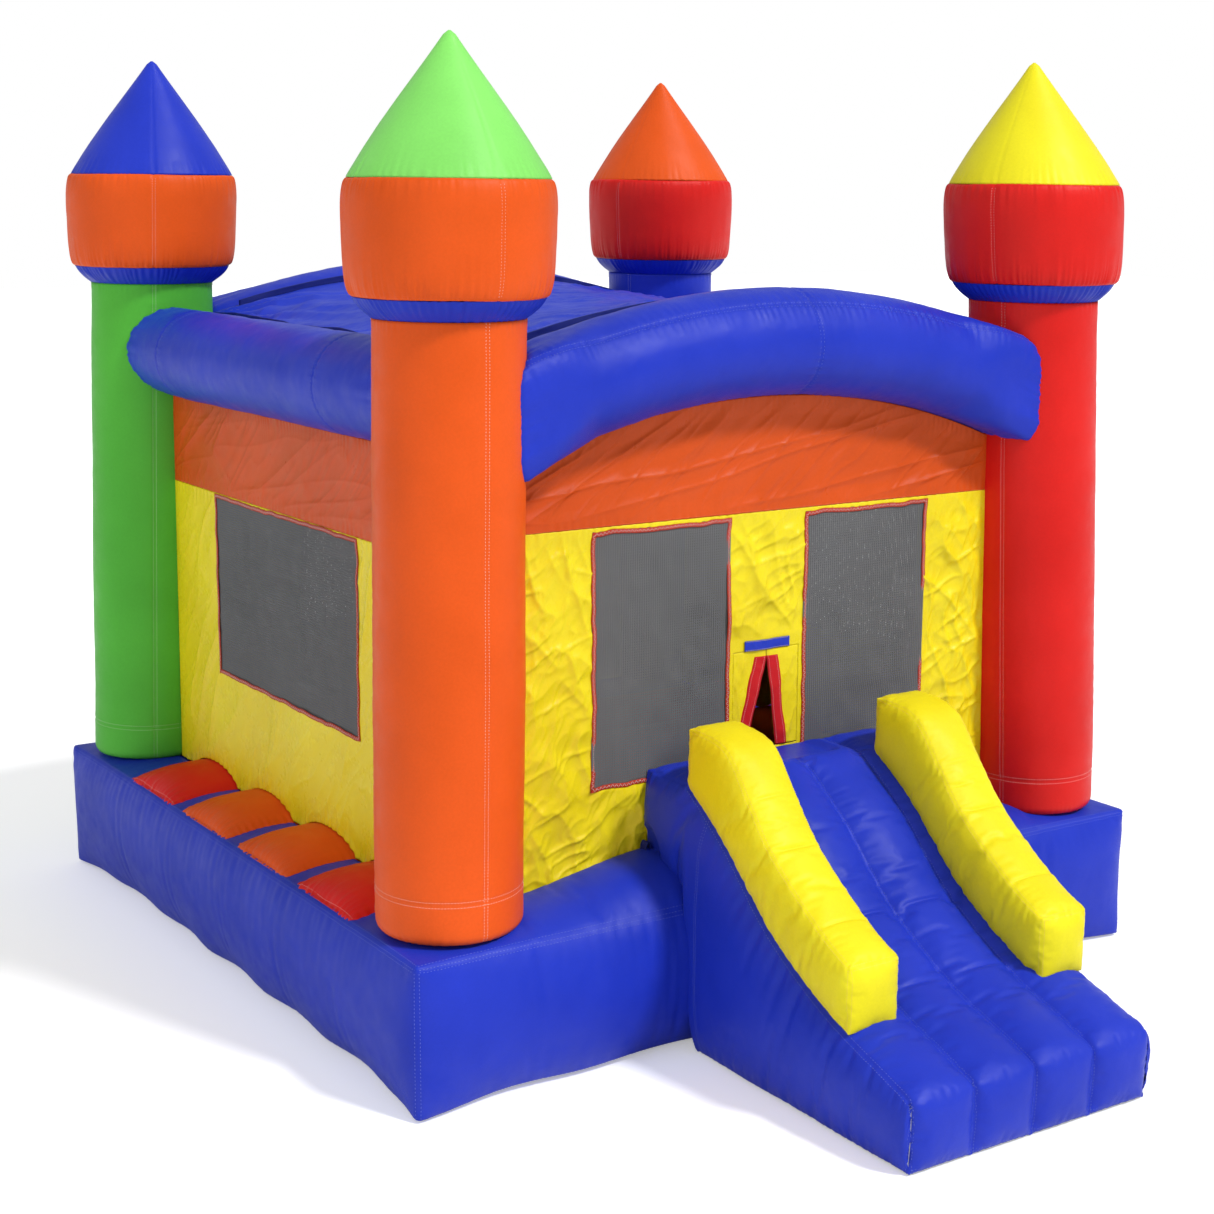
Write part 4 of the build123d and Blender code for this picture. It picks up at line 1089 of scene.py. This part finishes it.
def build_rail(side, name):
    lo_x, hi_x = RAIL_LO[0], RAIL_HI[0]
    back, nose = RAIL_HI[1] - .002, RAIL_LO[1] + .002
    low = [(back, 1.176), (-2.16, 1.012), (-2.36, .836), (-2.56, .668), (-2.80, .532), (nose, .436)]
    high = [(back, 1.430), (-2.185, 1.394), (-2.36, 1.200), (-2.52, 1.026), (-2.82, .814), (nose, .712)]
    t, w = np.linspace(0, 1, 104), np.linspace(0, 1, 18)[None, :, None]
    b, c = curve(low, t), curve(high, t)

    def face(x0, x1, from_line, to_line):
        start, end = (xyz(side * x, line[:, 0], line[:, 1])[:, None] for x, line in ((x0, from_line), (x1, to_line)))
        return start * (1 - w) + end * w

    faces = [face(lo_x, hi_x, c, c), face(hi_x, hi_x, c, b), face(hi_x, lo_x, b, b), face(lo_x, lo_x, b, c)]
    mesh, seams = Mesh(), []
    for g in faces:
        mesh.grid(g)
        seams += [g[:, 0], g[0], g[-1]]
    for end in (0, -1):
        mesh.grid(faces[3][end][:, None] * (1 - w) + faces[1][end][::-1][:, None] * w)
    ob = mesh.make(f"rail_{name}_cushion", ["yellow_vinyl"], f"slide_rail_{name}", weld=.0006)
    inflate(ob, seams, 20, .05, .05, pin=.82)
    creep(ob, seams, 500 + side, .0022, .0009, .002, .006)
    sew(ob, [faces[k][-1] for k in (0, 2, 1, 3)], "yellow", (-.010, .010))
    sew(ob, [faces[0][:, 0], faces[1][:, 0]], "yellow", (-.009, .009))


# ---- loops, sleeve, zips ----
def strap(mesh, line, across, wide, thick):
    """A flat webbing strap swept along a line, wide across."""
    across = np.asarray(across, float)
    up = np.cross(unit(np.gradient(line, axis=0)), across)
    outline = ((-1, -1), (-.9, -1.2), (0, -1), (.9, -1.2), (1, -1), (1, 1), (.9, 1.2), (0, 1), (-.9, 1.2), (-1, 1),
               (-1, -1))
    P = np.stack([line + across * a * wide / 2 + up * b * thick / 2 for a, b in outline], 1)
    ends = [P[c].mean(0) + 0 * P[c][None] for c in (0, -1)]
    mesh.grid(np.concatenate([ends[0], P, ends[1]], 0))


def build_loops():
    mesh, a = Mesh(), np.linspace(-pi / 2, 1.5 * pi, 60)
    for x in STAKE_LOOPS:
        ring = xyz(x, HALF + .017 + .0145 * np.cos(a), .075 + .033 * np.sin(a) * (1 + .05 * np.cos(2 * a)))
        strap(mesh, ring, (1, 0, 0), .045, .003)
    x, y, z = SLIDE_LOOP
    for side in (-1, 1):
        strap(mesh, xyz(side * (x + .0145 * np.cos(a)), y, z + .0335 * np.sin(a)), (0, 1, 0), .045, .003)
        for dy in (-.014, .014):
            line = xyz(side * (x - .0162), y + dy, z + .020 * np.linspace(-1, 1, 40))
            THREADS["blue"].run(line, np.tile([-side, 0, 0], (40, 1)), .007, .005, .0016)
    mesh.make("webbing_loops", ["navy_webbing"], "tie_down_loops")


def build_sleeve():
    (lo, hi), (s_lo, s_hi) = lohi("inflation_sleeve"), lohi("sleeve_strap")
    cx, cz, r = (lo[0] + hi[0]) / 2, (lo[2] + hi[2]) / 2, (hi[0] - lo[0]) / 2
    y, a = np.linspace(lo[1], hi[1], 130)[None, :], np.linspace(0, 2 * pi, 161)[:, None]
    strap_y = (s_lo[1] + s_hi[1]) / 2
    d = .007 * creases(a * r, y, .05, 0.2, 3, 601) + pleats(a * r, np.abs(y - strap_y), 602, .030, .0045, .13)
    d += pleats(a * r, y - lo[1], 603, .036, .0045, .09)
    over = smooth(strap_y - .13, strap_y - .06, y)                         # drawn tight round the nozzle
    rr = r + (d - .006) * (1 - over) - .0017 * over
    P = xyz(cx + rr * np.cos(a), y, cz + rr * np.sin(a))
    P[-1] = P[0]
    ob = Mesh().shell(P, .003).make("sleeve_cloth", ["blue_cloth"], "inflation_sleeve")
    mesh, b, r_out = Mesh(), np.linspace(0, 2 * pi, 120), r + .0015
    strap(mesh, xyz(cx + r_out * np.cos(b), strap_y, cz + r_out * np.sin(b)), (0, 1, 0), .038, .003)
    strap(mesh, xyz(cx + .014 * np.cos(b), strap_y + .020 * np.sin(b), cz + r + .008), (0, 0, 1), .009, .004)
    mesh.make("sleeve_tie", ["black_tape"], "sleeve_strap")


def build_zips():
    y0, zip_z, teeth = lohi("deflation_zips")[0][1], .330, 150
    lo, hi = lohi("zip_covers")
    tape, cover = Mesh(), Mesh()
    tooth = np.array([[-.0014, -.0024], [.0014, -.0024], [.0014, .0024], [-.0014, .0024], [-.0014, -.0024]])
    profile = np.array([(0, hi[2] - .001), (.008, hi[2] - .0012), (.016, hi[2] - .003), (.0215, hi[2] - .010)]
                       + [(.0225, z) for z in np.linspace(hi[2] - .02, lo[2], 22)])[None]
    for centre in (-.9, 0):
        u, v = np.linspace(centre - .32, centre + .32, 120)[:, None], np.linspace(-.022, .022, 9)[None, :]
        tape.shell(xyz(u, y0 + .0012 + .0004 * noise(u * 40, v * 60, 0, 4), zip_z + v), .0018)
        for k in range(teeth):
            x, z = centre - .305 + .61 * k / (teeth - 1), zip_z + (.0012 if k % 2 else -.0012)
            rings = [xyz(x + tooth[:, 0] * s, y0 + out, z + tooth[:, 1] * s)
                     for s, out in ((0, .002), (1, .002), (1, .0042), (.8, .0049), (0, .0049))]
            tape.grid(np.stack(rings, 1), flip=True, mat=1)
        u = np.linspace(centre - .340, centre + .340, 150)[:, None]
        fall, z = profile[..., 0], profile[..., 1]
        y = lo[1] + fall - .0018 + .0016 * noise(u * 26, z * 20, 0, 7) * smooth(.003, .02, fall)
        C = xyz(u, np.clip(y, lo[1] + .0012, hi[1] - .0012), z)
        cover.shell(C, .0024)
        for row, normal in ((1, (0, 0, 1.0)), (24, (0, 1.0, 0))):
            N = np.tile(normal, (len(u), 1))
            THREADS["blue"].run(C[:, row] + N * .0014, N, .010)
    tape.make("zip_tapes", ["black_tape", "zip_metal"], "deflation_zips", weld=.00005)
    cover.make("zip_flaps", ["blue_cloth"], "zip_covers")


# ---- putting it together ----
camera()
lights()
floor()
build_base()
build_strips()
for name, corner in CORNERS.items():
    build_tower(name, corner)
build_necks()
build_tube("front_arch", arch_line, ARCH_R, 0, radians(48), (.10,), 3.6, 701)
build_tube("back_arch", arch_line, ARCH_R, 2, radians(48), (.10,), 3.6, 721)
build_tube("left_beam", beam_line, BEAM_R, 3, radians(120), (-.95, .80), 0, 741)
build_tube("right_beam", beam_line, BEAM_R, 1, radians(120), (.95, -.80), 0, 761)
build_roof()
build_hems()
nets, bindings = Mesh(), Mesh()
for quarter in range(4):
    build_wall(quarter, bindings, nets)
nets.make("net_yarns", ["net"], "window_nets", weld=0, soft=False)
bindings.make("binding_tapes", ["red_binding"], "window_bindings")
build_entrance()
build_slide()
build_rail(1, "right")
build_rail(-1, "left")
build_loops()
build_sleeve()
build_zips()
for name, thread in THREADS.items():
    thread.make(f"{name}_stitching", f"{name}_thread")
# a better finish on the hard CAD pieces, whose shapes stay as they are
for finish, pieces in (("blower_shell", ("blower_housing_left", "blower_housing_right")),
                       ("black_plastic", ("blower_nozzle", "blower_grille", "blower_stand", "blower_handle", "switch_box")),
                       ("fan_plastic", ("blower_impeller",)), ("motor_paint", ("blower_motor",)),
                       ("red_switch", ("power_rocker",)), ("steel", ("grille_screws",)),
                       ("zip_metal", ("zip_slider_left", "zip_slider_right"))):
    for piece in pieces:
        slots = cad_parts[piece].data.materials
        slots.clear()
        slots.append(MATERIALS[finish])
